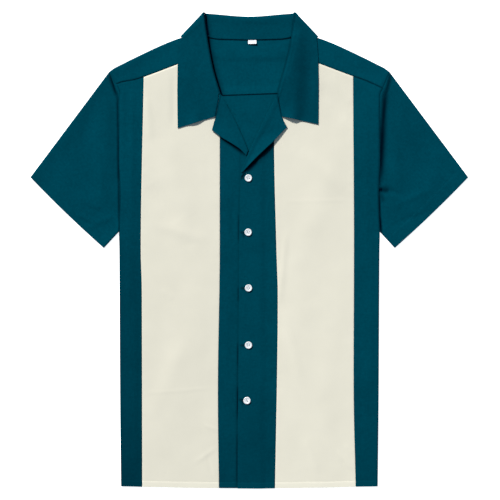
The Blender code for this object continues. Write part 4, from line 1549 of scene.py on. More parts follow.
@dataclass(frozen=True)
class Yoke:
    """The yoke: its back under the neck, and a wing over each shoulder down to the front seam."""

    dress: Dress
    step: float = 2.6
    neck_step: float = 3.5
    fold_steps: int = 8
    back_length: float = 104.0
    front_length: float = 60.0
    fall_edge: float = 334.0
    fall_rise: float = 29.0
    fall_out: float = 116.0
    ramp: float = 12.0
    ramp_out: float = 131.0
    clear: float = 3.2
    lap: float = 2.0
    lap_run: float = 18.0
    neck_out: float = 86.3
    fold_neck: float = 86.0
    front_neck: float = 76.1
    roll_place: float = 0.8
    roll_steps: tuple[float, ...] = (-1.2, 0.0, 0.8, 1.6, 2.4, 3.3, 4.4, 5.8)
    end_out: float = 238.3
    front_end: float = 227.3
    seam_outs: Track = Track((
        (86.3, 86.3), (99.0, 99.0), (110.0, 109.0), (118.0, 116.5), (132.0, 130.0), (156.0, 152.0),
        (182.0, 176.0), (205.0, 197.0), (223.0, 211.0), (238.3, 222.4),
    ))
    front_outs: Track = Track((
        (86.3, 76.1), (99.0, 91.0), (110.0, 106.0), (118.0, 120.0), (132.0, 135.0), (156.0, 158.0),
        (182.0, 180.0), (205.0, 201.0), (223.0, 214.0), (238.3, 227.3),
    ))

    def under(self, x: float, y: float) -> float:
        """The height of the yoke's outer face at the back, which steps up over the collar's back fall.

        Args:
            x, y: the place.

        Returns:
            The height.
        """
        fall = self.fall_edge + self.fall_rise * (min(abs(x), self.fall_out) / self.fall_out) ** 4
        up = (y - fall + self.ramp + self.clear) / self.ramp
        inward = (self.ramp_out - abs(x)) / self.ramp
        return LAY.yoke_step * ease(0.0, 1.0, min(up, inward))

    def back_spot(self, fold_out: float, top: Vector, share: float, way: int = 1) -> Vector:
        """A point of the yoke's back, from the back seam at 0 to its top at 1.

        Args:
            fold_out: the column.
            top: where the column ends.
            share: the place up it.
            way: 1, or -1 where the point is mirrored afterwards.

        Returns:
            The point on the outer face.
        """
        seam_out = fold_out if abs(fold_out) < self.neck_out else self.seam_outs.at(abs(fold_out))
        over = top.x if abs(fold_out) > self.neck_out else fold_out
        y = blend(CUT.back_seam_at(way * over), top.y, share)
        out = blend(abs(seam_out), abs(top.x), share)
        edge = ease(182.0, self.end_out, abs(fold_out))
        line = blend(CUT.body_edge.at(CUT.back_seam), self.end_out, share)
        out += (CUT.body_edge.at(blend(CUT.back_seam, CUT.shoulder, share)) - line) * edge
        x = math.copysign(out, fold_out)
        rise = total(NECK_CREASES, x, y)
        rise += self.lap * fade(0.0, self.lap_run, y - CUT.back_seam_at(x))
        return Vector((x, y, self.under(x, y) + rise * fade(80.0, 110.0, abs(x))))

    def neck_spot(self, x: float, share: float) -> Vector:
        """A point of the part between the shoulders, whose columns follow the collar's roll.

        Args:
            x: the column.
            share: the place up it, from the back seam to the neck.

        Returns:
            The point.
        """
        y = blend(CUT.back_seam_at(x), CUT.back_neck.at(abs(x)), share)
        roll, place = roll_out(x, y), abs(x) / self.neck_out
        if place < self.roll_place:
            out = roll * place / self.roll_place
        else:
            out = blend(roll, self.neck_out, (place - self.roll_place) / (1.0 - self.roll_place))
        out = math.copysign(out, x)
        return self.back_spot(out, Vector((out, CUT.back_neck.at(abs(out)) - 0.3, 0.0)), share)

    def wing_spot(self, side: Side, fold_out: float, place: float) -> Vector:
        """A point of a wing.

        Args:
            side: the half.
            fold_out: the column, by where it crosses the shoulder fold.
            place: 0 at the back seam, 1 and 2 at the two ends of the fold, and 3 at the front seam.

        Returns:
            The point on the outer face.
        """
        fold = Vector((fold_out, CUT.shoulder_fold.at(fold_out), 0.0))
        low, high = max(fold_out - 4.0, self.fold_neck), min(fold_out + 4.0, self.end_out)
        facing = level_normal((low, CUT.shoulder_fold.at(low)), (high, CUT.shoulder_fold.at(high)))
        under = self.under(fold.x, fold.y)
        radius = (RELIEF.top(side, fold.x, fold.y, yoke=True) - under) / 2.0
        root = fold - facing * radius
        if place <= 1.0:
            spot = self.back_spot(fold_out, root, place, side.value)
        elif place < 2.0:
            spot = root + UP * (under + radius) + around(-UP, facing, math.pi * (place - 1.0)) * radius
        else:
            spot = self.front_spot(side, fold_out, root, place - 2.0)
        return side.place(spot)

    def front_spot(self, side: Side, fold_out: float, root: Vector, share: float) -> Vector:
        """A point of a wing's front, from the fold's root at 0 to the front seam at 1.

        Args:
            side: the half.
            fold_out: the column, by where it crosses the shoulder fold.
            root: where the column leaves the fold.
            share: the place down it.

        Returns:
            The point.
        """
        front_out, top = self.front_outs.at(fold_out), CUT.shoulder - 2.4
        y = blend(root.y, CUT.yoke_at(side, front_out), share)
        out = blend(root.x, front_out, share)
        neck = CUT.front_neck.at(y) + 0.3 - blend(self.fold_neck, self.front_neck, share)
        out += neck * fade(self.neck_out, 110.0, fold_out)
        rim = CUT.front_edge(side, blend(top, CUT.yoke_at(side, self.front_end), share))
        rim -= blend(self.end_out - 1.5, self.front_end, share)
        out += rim * ease(205.0, self.end_out, fold_out)
        return Vector((out, y, RELIEF.top(side, out, y, yoke=True)))

    @staticmethod
    def tone(spot: Vector) -> float:
        """The painted shade of the cloth at a point: painted a little lighter all over, with painted shade
        beside the collar's roll and along the front seam.

        Args:
            spot: the point.

        Returns:
            The share of light, 1 where it is the usual.
        """
        out = abs(spot.x)
        seam = abs(CUT.yoke_at(Side.at(spot.x), out) - spot.y) if out > 178.0 else NOWHERE
        return 1.09 * (1.0 - roll_shade(spot.x, spot.y)) * (1.0 - 0.5 * hump(seam, 1.5))

    def build(self) -> bpy.types.Object:
        """Lays the part between the shoulders and both wings as one piece.

        Returns:
            The finished piece.
        """
        cloth = Cloth("yoke_cloth", tone=self.tone)
        back = spread(self.back_length, self.neck_step, SEWN, (0.0, 1.5))
        neck = spread(2.0 * self.neck_out, self.neck_step, (0.0,), (0.0,))
        neck = [blend(-self.neck_out, self.neck_out, share) for share in neck]
        roll = self.roll_place * self.neck_out
        neck = [x for x in neck if not -2.5 < roll - abs(x) < 7.0]
        neck += [sign * (roll - away) for sign in (-1.0, 1.0) for away in self.roll_steps]
        cloth.lay(sorted(neck), back, self.neck_spot, flipped=True)
        front = [2.0 + share for share in spread(self.front_length, self.step, (0.0, 1.0, 2.2), SEWN)]
        places = back + [1.0 + step / self.fold_steps for step in range(1, self.fold_steps)] + front
        run = self.end_out - self.neck_out
        wing = [self.neck_out + run * share for share in spread(run, self.step, (0.0,), SEWN)]
        for side in Side:
            cloth.lay(
                wing, places, lambda out, place: self.wing_spot(side, out, place),
                flipped=side is Side.RIGHT,
            )
        under = ["side_front_left_cloth"]
        return cloth.finish(self.dress, Slot.TEAL, "yoke", (0.480, 0.215), 0.060, under)


@dataclass(frozen=True)
class Collar:
    """The camp collar: one piece that rolls over from its fall to its stand, all round the neck."""

    dress: Dress
    step: float = 2.2
    wall: float = 1.1
    fall_shares: tuple[float, ...] = (0.0, 0.14, 0.3, 0.46, 0.645, 0.66, 0.675, 0.728, 0.813, 0.898, 1.0)
    middle_share: float = 0.66
    edge_shifts: tuple[float, float] = (1.8, -2.9)
    point_rises: tuple[float, float] = (-3.3, 3.2)
    notch_shifts: tuple[float, float] = (1.2, -1.4)
    shoulder_radius: float = 3.3
    shoulder_neck: float = 3.15
    lifts: tuple[tuple[Ridge, ...], tuple[Ridge, ...]] = (
        (Ridge(85.0, 216.0, 94.0, 213.0, 9.0, 3.6), Ridge(58.0, 226.0, 64.0, 223.0, 7.0, 3.0)),
        (Ridge(63.0, 224.0, 76.0, 221.0, 11.0, 7.0), Ridge(108.0, 214.0, 116.0, 213.0, 6.0, 1.2)),
    )

    def fall_spot(self, row: CollarRow, side: Side, root: Vector, share: float) -> Vector:
        """A level point of the fall, from its outer edge at 0 to the root of its roll at 1.

        Args:
            row: the section.
            side: the half.
            root: the root of the roll.
            share: the place.

        Returns:
            The point.
        """
        edge, middle = level(row.edge_x, row.edge_y), level(row.mid_x, row.mid_y)
        if row.lies and row is not PEAK:
            edge.x += side.pick(self.edge_shifts)
            edge.y += side.pick(self.point_rises) * ease(260.0, 210.0, row.edge_y)
        if row is COLLAR[0]:
            middle.x += side.pick(self.notch_shifts)
        if share <= self.middle_share:
            return edge.lerp(middle, share / self.middle_share)
        return middle.lerp(root, (share - self.middle_share) / (1.0 - self.middle_share))

    @staticmethod
    def facing(index: int, side: Side) -> Vector:
        """The level direction that the roll faces at a section.

        Args:
            index: the section.
            side: the half.

        Returns:
            The direction.
        """
        row = COLLAR[index]
        past_peak = level(PEAK.roll_x - PEAK.edge_x, PEAK.roll_y - PEAK.edge_y).normalized()
        if row.roll_y == PEAK.roll_y:
            return past_peak
        if row.lies:
            return roll_facing(ROLLS[side], index + len(LAPELS[side]) - 1)
        return level(0.0, 1.0).lerp(past_peak, 0.35 * (row.roll_x / PEAK.roll_x) ** 3).normalized()

    def section(self, index: int, side: Side) -> list[Vector]:
        """One section: the fall from its outer edge, the roll, and the stand down to the neck.

        Args:
            index: the section, from the collar's point to the middle of the back.
            side: the half.

        Returns:
            The section's points on the face that shows.
        """
        row, facing = COLLAR[index], self.facing(index, side)
        at_peak = row.roll_y == PEAK.roll_y
        square = level_normal((PEAK.edge_x, PEAK.edge_y), (PEAK.roll_x, PEAK.roll_y)) * -1.0
        turn = math.radians(row.turn)
        fall_side = square * math.sin(turn) - UP * math.cos(turn)
        root = level(row.roll_x, row.roll_y) - facing * row.radius
        if row.lies and side is Side.LEFT:
            root.x += LEFT_ROLL.at(row.roll_y)
        points = []
        for share in self.fall_shares:
            spot = self.fall_spot(row, side, root, share)
            if at_peak:
                spot += (fall_side - square + UP) * self.shoulder_radius
            elif row.lies:
                raised = total(side.pick(self.lifts), spot.x, spot.y)
                spot.z = turned_top(side, spot.x, spot.y, row.radius) + raised
            points.append(spot)
        centre = points[-1] - fall_side * row.radius
        for step in range(1, 5):
            points.append(centre + around(fall_side, facing, math.pi * step / 4) * row.radius)
        neck = Vector((row.neck_x, row.neck_y - 0.5, LAY.yoke_step + WALL + 2.0))
        if at_peak:
            neck.z = self.shoulder_neck
            neck += (fall_side - square) * 0.45
        elif row.lies:
            neck.z = LAY.front(neck.x, neck.y) - WALL
        stand = points[-1]
        points += [stand.lerp(neck, share) for share in (0.35, 0.7, 1.0)]
        return [side.place(spot) for spot in points]

    @staticmethod
    def tone(spot: Vector) -> float:
        """The painted shade of the collar's cloth at a point: its right fall is painted darker, as it turns
        away from the light, with a painted dark band on it, a painted lighter band beside its right roll, and
        painted shade beside the roll and the gorge seam.

        Args:
            spot: the point.

        Returns:
            The share of light, 1 where it is the usual.
        """
        x, y = spot.x, spot.y
        tone = blend(0.98, 0.94, ease(50.0, 70.0, x))
        tone -= 0.24 * (hump(x - 88.0, 15.0) * ease(214.0, 242.0, y) * fade(345.0, 380.0, y))
        if x > 0.0:
            crest = hump(x - roll_out(x, y) - 7.0, 6.0)
            tone += 0.2 * crest * ease(278.0, 305.0, y) * fade(365.0, 385.0, y)
        return tone * (1.0 - roll_shade(x, y)) * (1.0 - gorge_shade(x, y))

    def build(self) -> bpy.types.Object:
        """Lofts the sections and adds the soft shape of the front falls and of the stand at the back.

        Returns:
            The finished piece.
        """
        left = [self.section(index, Side.LEFT) for index in range(len(COLLAR))]
        right = [self.section(index, Side.RIGHT) for index in range(len(COLLAR) - 1)]
        surface = Surface(left + right[::-1])
        ends = len(COLLAR_FRONT) - 1.0
        root = len(self.fall_shares) - 1.0
        last = len(surface.rows) - 1.0

        def place(column: float, row: float) -> Vector:
            """A point of the collar, with its creases and the dip of the gorge seam.

            Args:
                column, row: the place on the surface.

            Returns:
                The point.
            """
            spot = surface.at(row, column)
            front = max(fade(ends - 1.0, ends, row), ease(last - ends, last - ends + 1.0, row))
            soft = total(COLLAR_CREASES, spot.x, spot.y)
            soft += 0.35 * ripple(spot.x / 17.0, spot.y / 23.0, 61.0)
            soft += 0.25 * ripple(spot.y / 11.0, 0.0, 63.0) * fade(0.0, 1.0, column)
            soft -= gorge_dip(min(row, last - row)) * ease(4.5, 5.0, column)
            stand = ease(root + 4.2, root + 5.0, column) * (1.0 - front)
            crease = 0.5 * ripple(spot.x / 24.0, spot.y / 16.0, 67.0) * fade(root + 6.0, root + 7.0, column)
            soft *= front * fade(root - 0.4, root + 1.0, column)
            spot.z = max(spot.z + soft + crease * stand, 0.1)
            return spot

        cloth = Cloth("collar_cloth", grain=35.0, tone=self.tone)
        near = [*GORGE_ROWS, *(last - row for row in GORGE_ROWS)]
        cloth.lay(surface.columns_at(self.step), sorted(surface.rows_at(self.step) + near), place)
        return cloth.finish(
            self.dress, Slot.TEAL, "collar", (0.640, 0.130), 0.048,
            ["yoke_cloth", "cream_panel_left_cloth"], wall=self.wall,
        )


def lapel_root(side: Side, index: int) -> Vector:
    """Where a band ends behind its lapel's roll."""
    row = LAPELS[side][index]
    return level(row.roll_x, row.roll_y) - roll_facing(ROLLS[side], index) * (row.radius + 0.7)


@dataclass(frozen=True)
class Lapels:
    """The turned-out tops of the front facings."""

    dress: Dress
    step: float = 1.6
    wall: float = 1.1
    fall_shares: tuple[float, ...] = (0.0, 0.2, 0.45, 0.7, 1.0)
    corners: tuple[int, int] = (4, 5)
    areas: tuple[float, float] = (0.0036, 0.0042)
    lies_on: tuple[str, str] = ("centre_band", "cream_panel")

    def section(self, index: int, side: Side) -> list[Vector]:
        """One section: from the free edge up to the roll and round it.

        Args:
            index: the section, from the foot of the opening to the gorge seam.
            side: the half.

        Returns:
            The section's points on the face that shows.
        """
        row = LAPELS[side][index]
        facing = roll_facing(ROLLS[side], index)
        edge = level(row.edge_x, row.edge_y)
        root = level(row.roll_x, row.roll_y) - facing * row.radius
        points = []
        for share in self.fall_shares:
            spot = edge.lerp(root, share)
            spot.z = turned_top(side, spot.x, spot.y, row.radius) + row.lift * (1.0 - share) ** 2
            points.append(spot)
        centre = points[-1] - UP * row.radius
        turned = math.radians(row.turn)
        points += [centre + around(UP, facing, turned * step / 4) * row.radius for step in range(1, 5)]
        points.append(points[-1] + around(facing, -UP, turned) * 0.4)
        return [side.place(spot) for spot in points]

    @staticmethod
    def tone(spot: Vector) -> float:
        """The painted shade of a lapel's cloth at a point: a little lighter all over, painted darker along
        the right one's roll so that its highlight hardly shows, and painted shade beside the gorge seam.
        """
        crest = hump(path_distance(spot.x, spot.y, ROLL_PATH) - 1.2, 3.4) if spot.x > -16.0 else 0.0
        return (1.03 - 0.15 * crest) * (1.0 - gorge_shade(spot.x, spot.y))

    def lapel(self, side: Side) -> bpy.types.Object:
        """Builds one lapel.

        Args:
            side: the half.

        Returns:
            The finished piece.
        """
        sections = [self.section(index, side) for index in range(len(LAPELS[side]))]
        corner = side.pick(self.corners)
        for index, share in ((corner + 1, 0.06), (corner, 0.94)):
            pairs = zip(sections[index - 1], sections[index])
            sections.insert(index, [before.lerp(after, share) for before, after in pairs])
        surface = Surface(sections)
        last = len(sections) - 1.0

        def place(column: float, row: float) -> Vector:
            """A point of the lapel, with its small unevenness and the dip of the gorge seam.

            Args:
                column, row: the place on the surface.

            Returns:
                The point.
            """
            spot = surface.at(row, column)
            soft = 0.3 * ripple(spot.x / 14.0, spot.y / 18.0, 71.0 + side.value)
            soft -= gorge_dip(row - last)
            spot.z += soft * fade(3.4, 4.4, column)
            return spot

        name, under = side.name_of("lapel"), [side.name_of(piece) + "_cloth" for piece in self.lies_on]
        cloth = Cloth(name + "_cloth", grain=25.0, tone=self.tone)
        rows = sorted(surface.rows_at(self.step) + [last - row for row in GORGE_ROWS])
        cloth.lay(surface.columns_at(self.step), rows, place, flipped=side is Side.RIGHT)
        area = side.pick(self.areas)
        return cloth.finish(self.dress, Slot.TEAL, name, (0.075, 0.140), area, under, wall=self.wall)

    def build(self) -> list[bpy.types.Object]:
        """Builds both lapels."""
        return [self.lapel(side) for side in Side]


@dataclass(frozen=True)
class Sleeves:
    """The short sleeves, each a tube pressed flat with a turned hem."""

    dress: Dress
    step: float = 3.0
    tip: Vector = Vector((372.0, 124.3, 0.0))
    corner: Vector = Vector((247.0, 4.0, 0.0))
    hem_turn: float = 20.0
    bulge: Vector = Vector((0.69, -0.72, 0.0)) * 1.9
    tuck: float = 6.0
    length: float = 190.0
    width: float = 225.0

    def spot(self, side: Side, along: float, across: float, lower: bool = False) -> Vector:
        """A level point, from the armhole at 0 to the hem at 1 and from the shoulder at 0 to the underarm.

        Args:
            side: the half.
            along, across: the place.
            lower: whether it is on the under face.

        Returns:
            The point.
        """
        y = blend(CUT.shoulder, CUT.underarm, across)
        armhole = level(CUT.body_edge.at(y) + (0.0 if lower else RELIEF.armhole_gap(side, y)), y)
        hem = self.tip.lerp(self.corner, across) + self.bulge * 4.0 * across * (1.0 - across)
        return armhole.lerp(hem, along)

    @staticmethod
    def depth(x: float, y: float) -> float:
        """How far a place lies down in the deep folds beside the armholes, 1 at their floor."""
        return max(fold.rise(x, y) for fold in ARMHOLE_FOLDS)

    def tone(self, spot: Vector) -> float:
        """The painted shade of the cloth at a point: on the upper sheet, painted shade in the deep folds
        beside the armholes.
        """
        return max(1.0 - 0.86 * self.depth(spot.x, spot.y), 0.03) if spot.z > 1.2 else 1.0

    def sheet_spot(self, side: Side, along: float, across: float, lower: bool) -> Vector:
        """A point of the upper or the under face, which is tucked inward before the armhole.

        Args:
            side: the half.
            along, across: the place.
            lower: whether it is on the under face.

        Returns:
            The point on the outer face.
        """
        tuck, along = max(-along, 0.0) * self.tuck, max(along, 0.0)
        spot = self.spot(side, along, across, lower)
        length = (self.spot(side, along, 1.0) - self.spot(side, along, 0.0)).length
        inset = min(across, 1.0 - across) * length
        x = side.value * spot.x
        top = LAY.front_level + WALL + LAY.puff * hump(inset, LAY.puff_reach) + LAY.drift(x, spot.y)
        top += (total(BROAD_FOLDS, x, spot.y) + total(SLEEVE_CREASES, x, spot.y)) * ease(0.0, 0.07, along)
        armhole = self.spot(side, 0.0, across)
        top += RELIEF.armhole(side, (spot - armhole).length, armhole.y, 12.0 + 10.0 * side.value)
        up = (self.spot(side, 1.0, across) - spot).length
        top += 0.35 * fade(19.4, 20.8, up) + LAY.hem_seam.rise(abs(up - self.hem_turn), across * length, 81.0)
        middle = max(top - 2.0 * self.depth(x, spot.y), RELIEF.least) / 2.0
        height = middle + middle * RELIEF.turned(inset, middle) * (-1.0 if lower else 1.0)
        if tuck:
            height = max(height, THIN + 0.15)
        return Vector((x - side.value * tuck, spot.y, height))

    def sleeve(self, side: Side) -> bpy.types.Object:
        """Builds one sleeve: two sheets that are joined along their folded edges.

        Args:
            side: the half.

        Returns:
            The finished piece.
        """
        name = side.name_of("sleeve")
        cloth = Cloth(name + "_cloth", grain=-49.0 * side.value, tone=self.tone)
        along = spread(self.length, self.step, SEWN, CUFFED)
        across = [1.0 - share for share in spread(self.width, self.step, FOLDED, FOLDED)]
        for lower in (False, True):
            cloth.lay(
                ([-1.0, -0.2] if lower else []) + along, across,
                lambda column, row: self.sheet_spot(side, column, row, lower),
                flipped=(side is Side.LEFT) is not lower,
            )
        return cloth.finish(self.dress, Slot.TEAL, name, (0.600, 0.250), 0.0570)

    def build(self) -> list[bpy.types.Object]:
        """Builds both sleeves."""
        return [self.sleeve(side) for side in Side]


def mesh_of(shape: bmesh.types.BMesh, name: str) -> bpy.types.Mesh:
    """Turns a shape into a smooth mesh.

    Args:
        shape: the shape, which is used up.
        name: the mesh's name.

    Returns:
        The mesh.
    """
    mesh = bpy.data.meshes.new(name)
    shape.to_mesh(mesh)
    shape.free()
    mesh.shade_smooth()
    return mesh


# Heights from which every piece is above, or below.
UNDER_ALL = -20.0
OVER_ALL = 50.0


class Bench:
    """Where small parts are put down: it knows the height of the cloth at any place."""

    def __init__(self, pieces: Iterable[bpy.types.Object]) -> None:
        """Measures the finished cloth.

        Args:
            pieces: the cloth that small parts lie on.
        """
        bpy.context.view_layer.update()
        view = bpy.context.evaluated_depsgraph_get()
        self.trees = [BVHTree.FromObject(piece, view) for piece in pieces]

    def height(self, x: float, y: float, below: bool = False) -> float:
        """The height of the cloth's upper face, or of its under face.

        Args:
            x, y: the place.
            below: whether it is felt from below.

        Returns:
            The height in millimetres, or 0 where there is no cloth.
        """
        start = Vector((x, y, UNDER_ALL if below else OVER_ALL)) * MM
        hits = (tree.ray_cast(start, UP if below else -UP) for tree in self.trees)
        heights = [hit[0].z / MM for hit in hits if hit[0] is not None]
        if not heights:
            return 0.0
        return min(heights) if below else max(heights)


@dataclass
class Stitching:
    """A run of machine stitches: grains of thread, each pressed into the cloth."""

    name: str
    bench: Bench
    length: float = 2.05
    radius: float = 0.24
    pitch: float = 2.65
    shape: bmesh.types.BMesh = field(default_factory=bmesh.new)
    count: int = 0

    def __post_init__(self) -> None:
        """Makes the grain that every stitch copies."""
        grain = bmesh.new()
        bmesh.ops.create_uvsphere(grain, u_segments=6, v_segments=4, radius=1.0)
        bmesh.ops.rotate(grain, matrix=Matrix.Rotation(math.pi / 2.0, 3, "Y"), verts=grain.verts)
        self.grain = mesh_of(grain, self.name + "_grain")

    def stitch(self, start: Vector, end: Vector, radius: float | None = None) -> None:
        """Adds one stitch between two points, in millimetres.

        Args:
            start, end: its ends.
            radius: that of its thread, if it isn't the usual.
        """
        before = len(self.shape.verts)
        self.shape.from_mesh(self.grain)
        self.shape.verts.ensure_lookup_table()
        verts = self.shape.verts[before:]
        thick = radius or self.radius
        size = Vector(((end - start).length / 2.0, thick, thick * 0.8))
        turn = (end - start).to_track_quat("X", "Z").to_matrix().to_4x4()
        matrix = Matrix.Translation((start + end) / 2.0 * MM) @ turn @ Matrix.Diagonal((*(size * MM), 1.0))
        bmesh.ops.transform(self.shape, matrix=matrix, verts=verts)
        self.count += 1

    def run(self, path: Sequence[tuple[float, float]], below: bool = False, sunk: float = 0.06) -> None:
        """Sews along a line.

        Args:
            path: the line's points.
            below: whether the stitches are on the under face.
            sunk: how deep they are pressed into the cloth.
        """
        along = 0.0
        for (x0, y0), (x1, y1) in zip(path, path[1:]):
            run = math.hypot(x1 - x0, y1 - y0)
            while along + self.length <= run:
                ends = []
                for at in (along, along + self.length):
                    x, y = blend(x0, x1, at / run), blend(y0, y1, at / run)
                    height = self.bench.height(x, y, below) + (sunk if below else -sunk)
                    ends.append(Vector((x, y, height)))
                if abs(ends[1].z - ends[0].z) < 1.2:
                    self.stitch(*ends)
                along += self.pitch
            along = max(along - run, 0.0)

    def finish(self, finish: bpy.types.Material, slot: Slot) -> bpy.types.Object:
        """Makes the object, in a thread."""
        LOG.info("%s: %d stitches", self.name, self.count)
        return link(self.name, mesh_of(self.shape, self.name), finish, slot)


@dataclass(frozen=True)
class Topstitching:
    """The rows of stitches that show on the shirt, and those of its under side."""

    dress: Dress
    body: Body
    sleeves: Sleeves
    bench: Bench
    hem_level: float = -391.0
    hem_end: float = 216.0
    hem_step: float = 8.0
    cuff_steps: int = 24
    yoke_ends: tuple[float, float] = (122.0, 225.0)
    seam_offset: float = 2.2

    def hem_path(self, low: float, high: float, sag: float) -> list[tuple[float, float]]:
        """The line of the stitches of a hem with a sag, between two places across."""
        across = even(low, high, max(int((high - low) / self.hem_step), 2))
        return [(x, self.body.hem(sag, x) + LAY.hem_turn) for x in across]

    def sleeve_path(self, side: Side) -> list[tuple[float, float]]:
        """The line of a sleeve hem's stitches.

        Args:
            side: the half.

        Returns:
            The line's points.
        """
        path = []
        for index in range(1, self.cuff_steps):
            across = index / self.cuff_steps
            end, start = self.sleeves.spot(side, 1.0, across), self.sleeves.spot(side, 0.0, across)
            spot = end + (start - end).normalized() * self.sleeves.hem_turn
            path.append((side.value * spot.x, spot.y))
        return path

    def panel_ends(self, side: Side) -> list[float]:
        """How far out the edges of a cream panel are at the hem's stitches."""
        return [side.pick(pair).at(self.hem_level) for pair in (CUT.cream_inner, CUT.cream_outer)]

    def teal(self) -> bpy.types.Object:
        """The rows in teal thread.

        Returns:
            The finished piece.
        """
        rows = Stitching("stitches_teal", self.bench)
        (left_in, left_out), (right_in, right_out) = (self.panel_ends(side) for side in Side)
        back, front, left_band, right_band = self.body.hem_sags
        for low, high, sag in (
            (1.0 - left_in, -21.0, left_band), (-19.4, right_in - 1.0, right_band),
            (-self.hem_end, -left_out - 1.0, front), (right_out + 1.0, self.hem_end, front),
        ):
            rows.run(self.hem_path(low, high, sag))
        rows.run([(x, y + 1.0) for x, y in self.hem_path(-self.hem_end, self.hem_end, back)], below=True)
        for side in Side:
            for below in (False, True):
                rows.run(self.sleeve_path(side), below)
            outs = even(*self.yoke_ends, 20)
            rows.run([(side.value * out, CUT.yoke_seam.at(out) + self.seam_offset) for out in outs])
        across = even(-220.0, 220.0, 40)
        rows.run([(x, CUT.back_seam + self.seam_offset) for x in across], below=True)
        rows.run([(x, CUT.back_seam + 2.4) for x in across[12:29]])
        rows.run([(x, CUT.back_neck.at(abs(x)) + 2.6) for x in range(-72, 73, 6)])
        return rows.finish(self.dress.get(self.dress.teal_thread), Slot.TEAL)

    def cream(self) -> bpy.types.Object:
        """The rows in cream thread.

        Returns:
            The finished piece.
        """
        rows = Stitching("stitches_cream", self.bench)
        for side in Side:
            inner, outer = self.panel_ends(side)
            ends = sorted((side.value * (inner + 1.2), side.value * (outer - 1.2)))
            rows.run(self.hem_path(*ends, self.body.hem_sags[1]))
        return rows.finish(self.dress.get(self.dress.cream_thread), Slot.CREAM)

    def build(self) -> list[bpy.types.Object]:
        """Sews every row."""
        return [self.teal(), self.cream()]


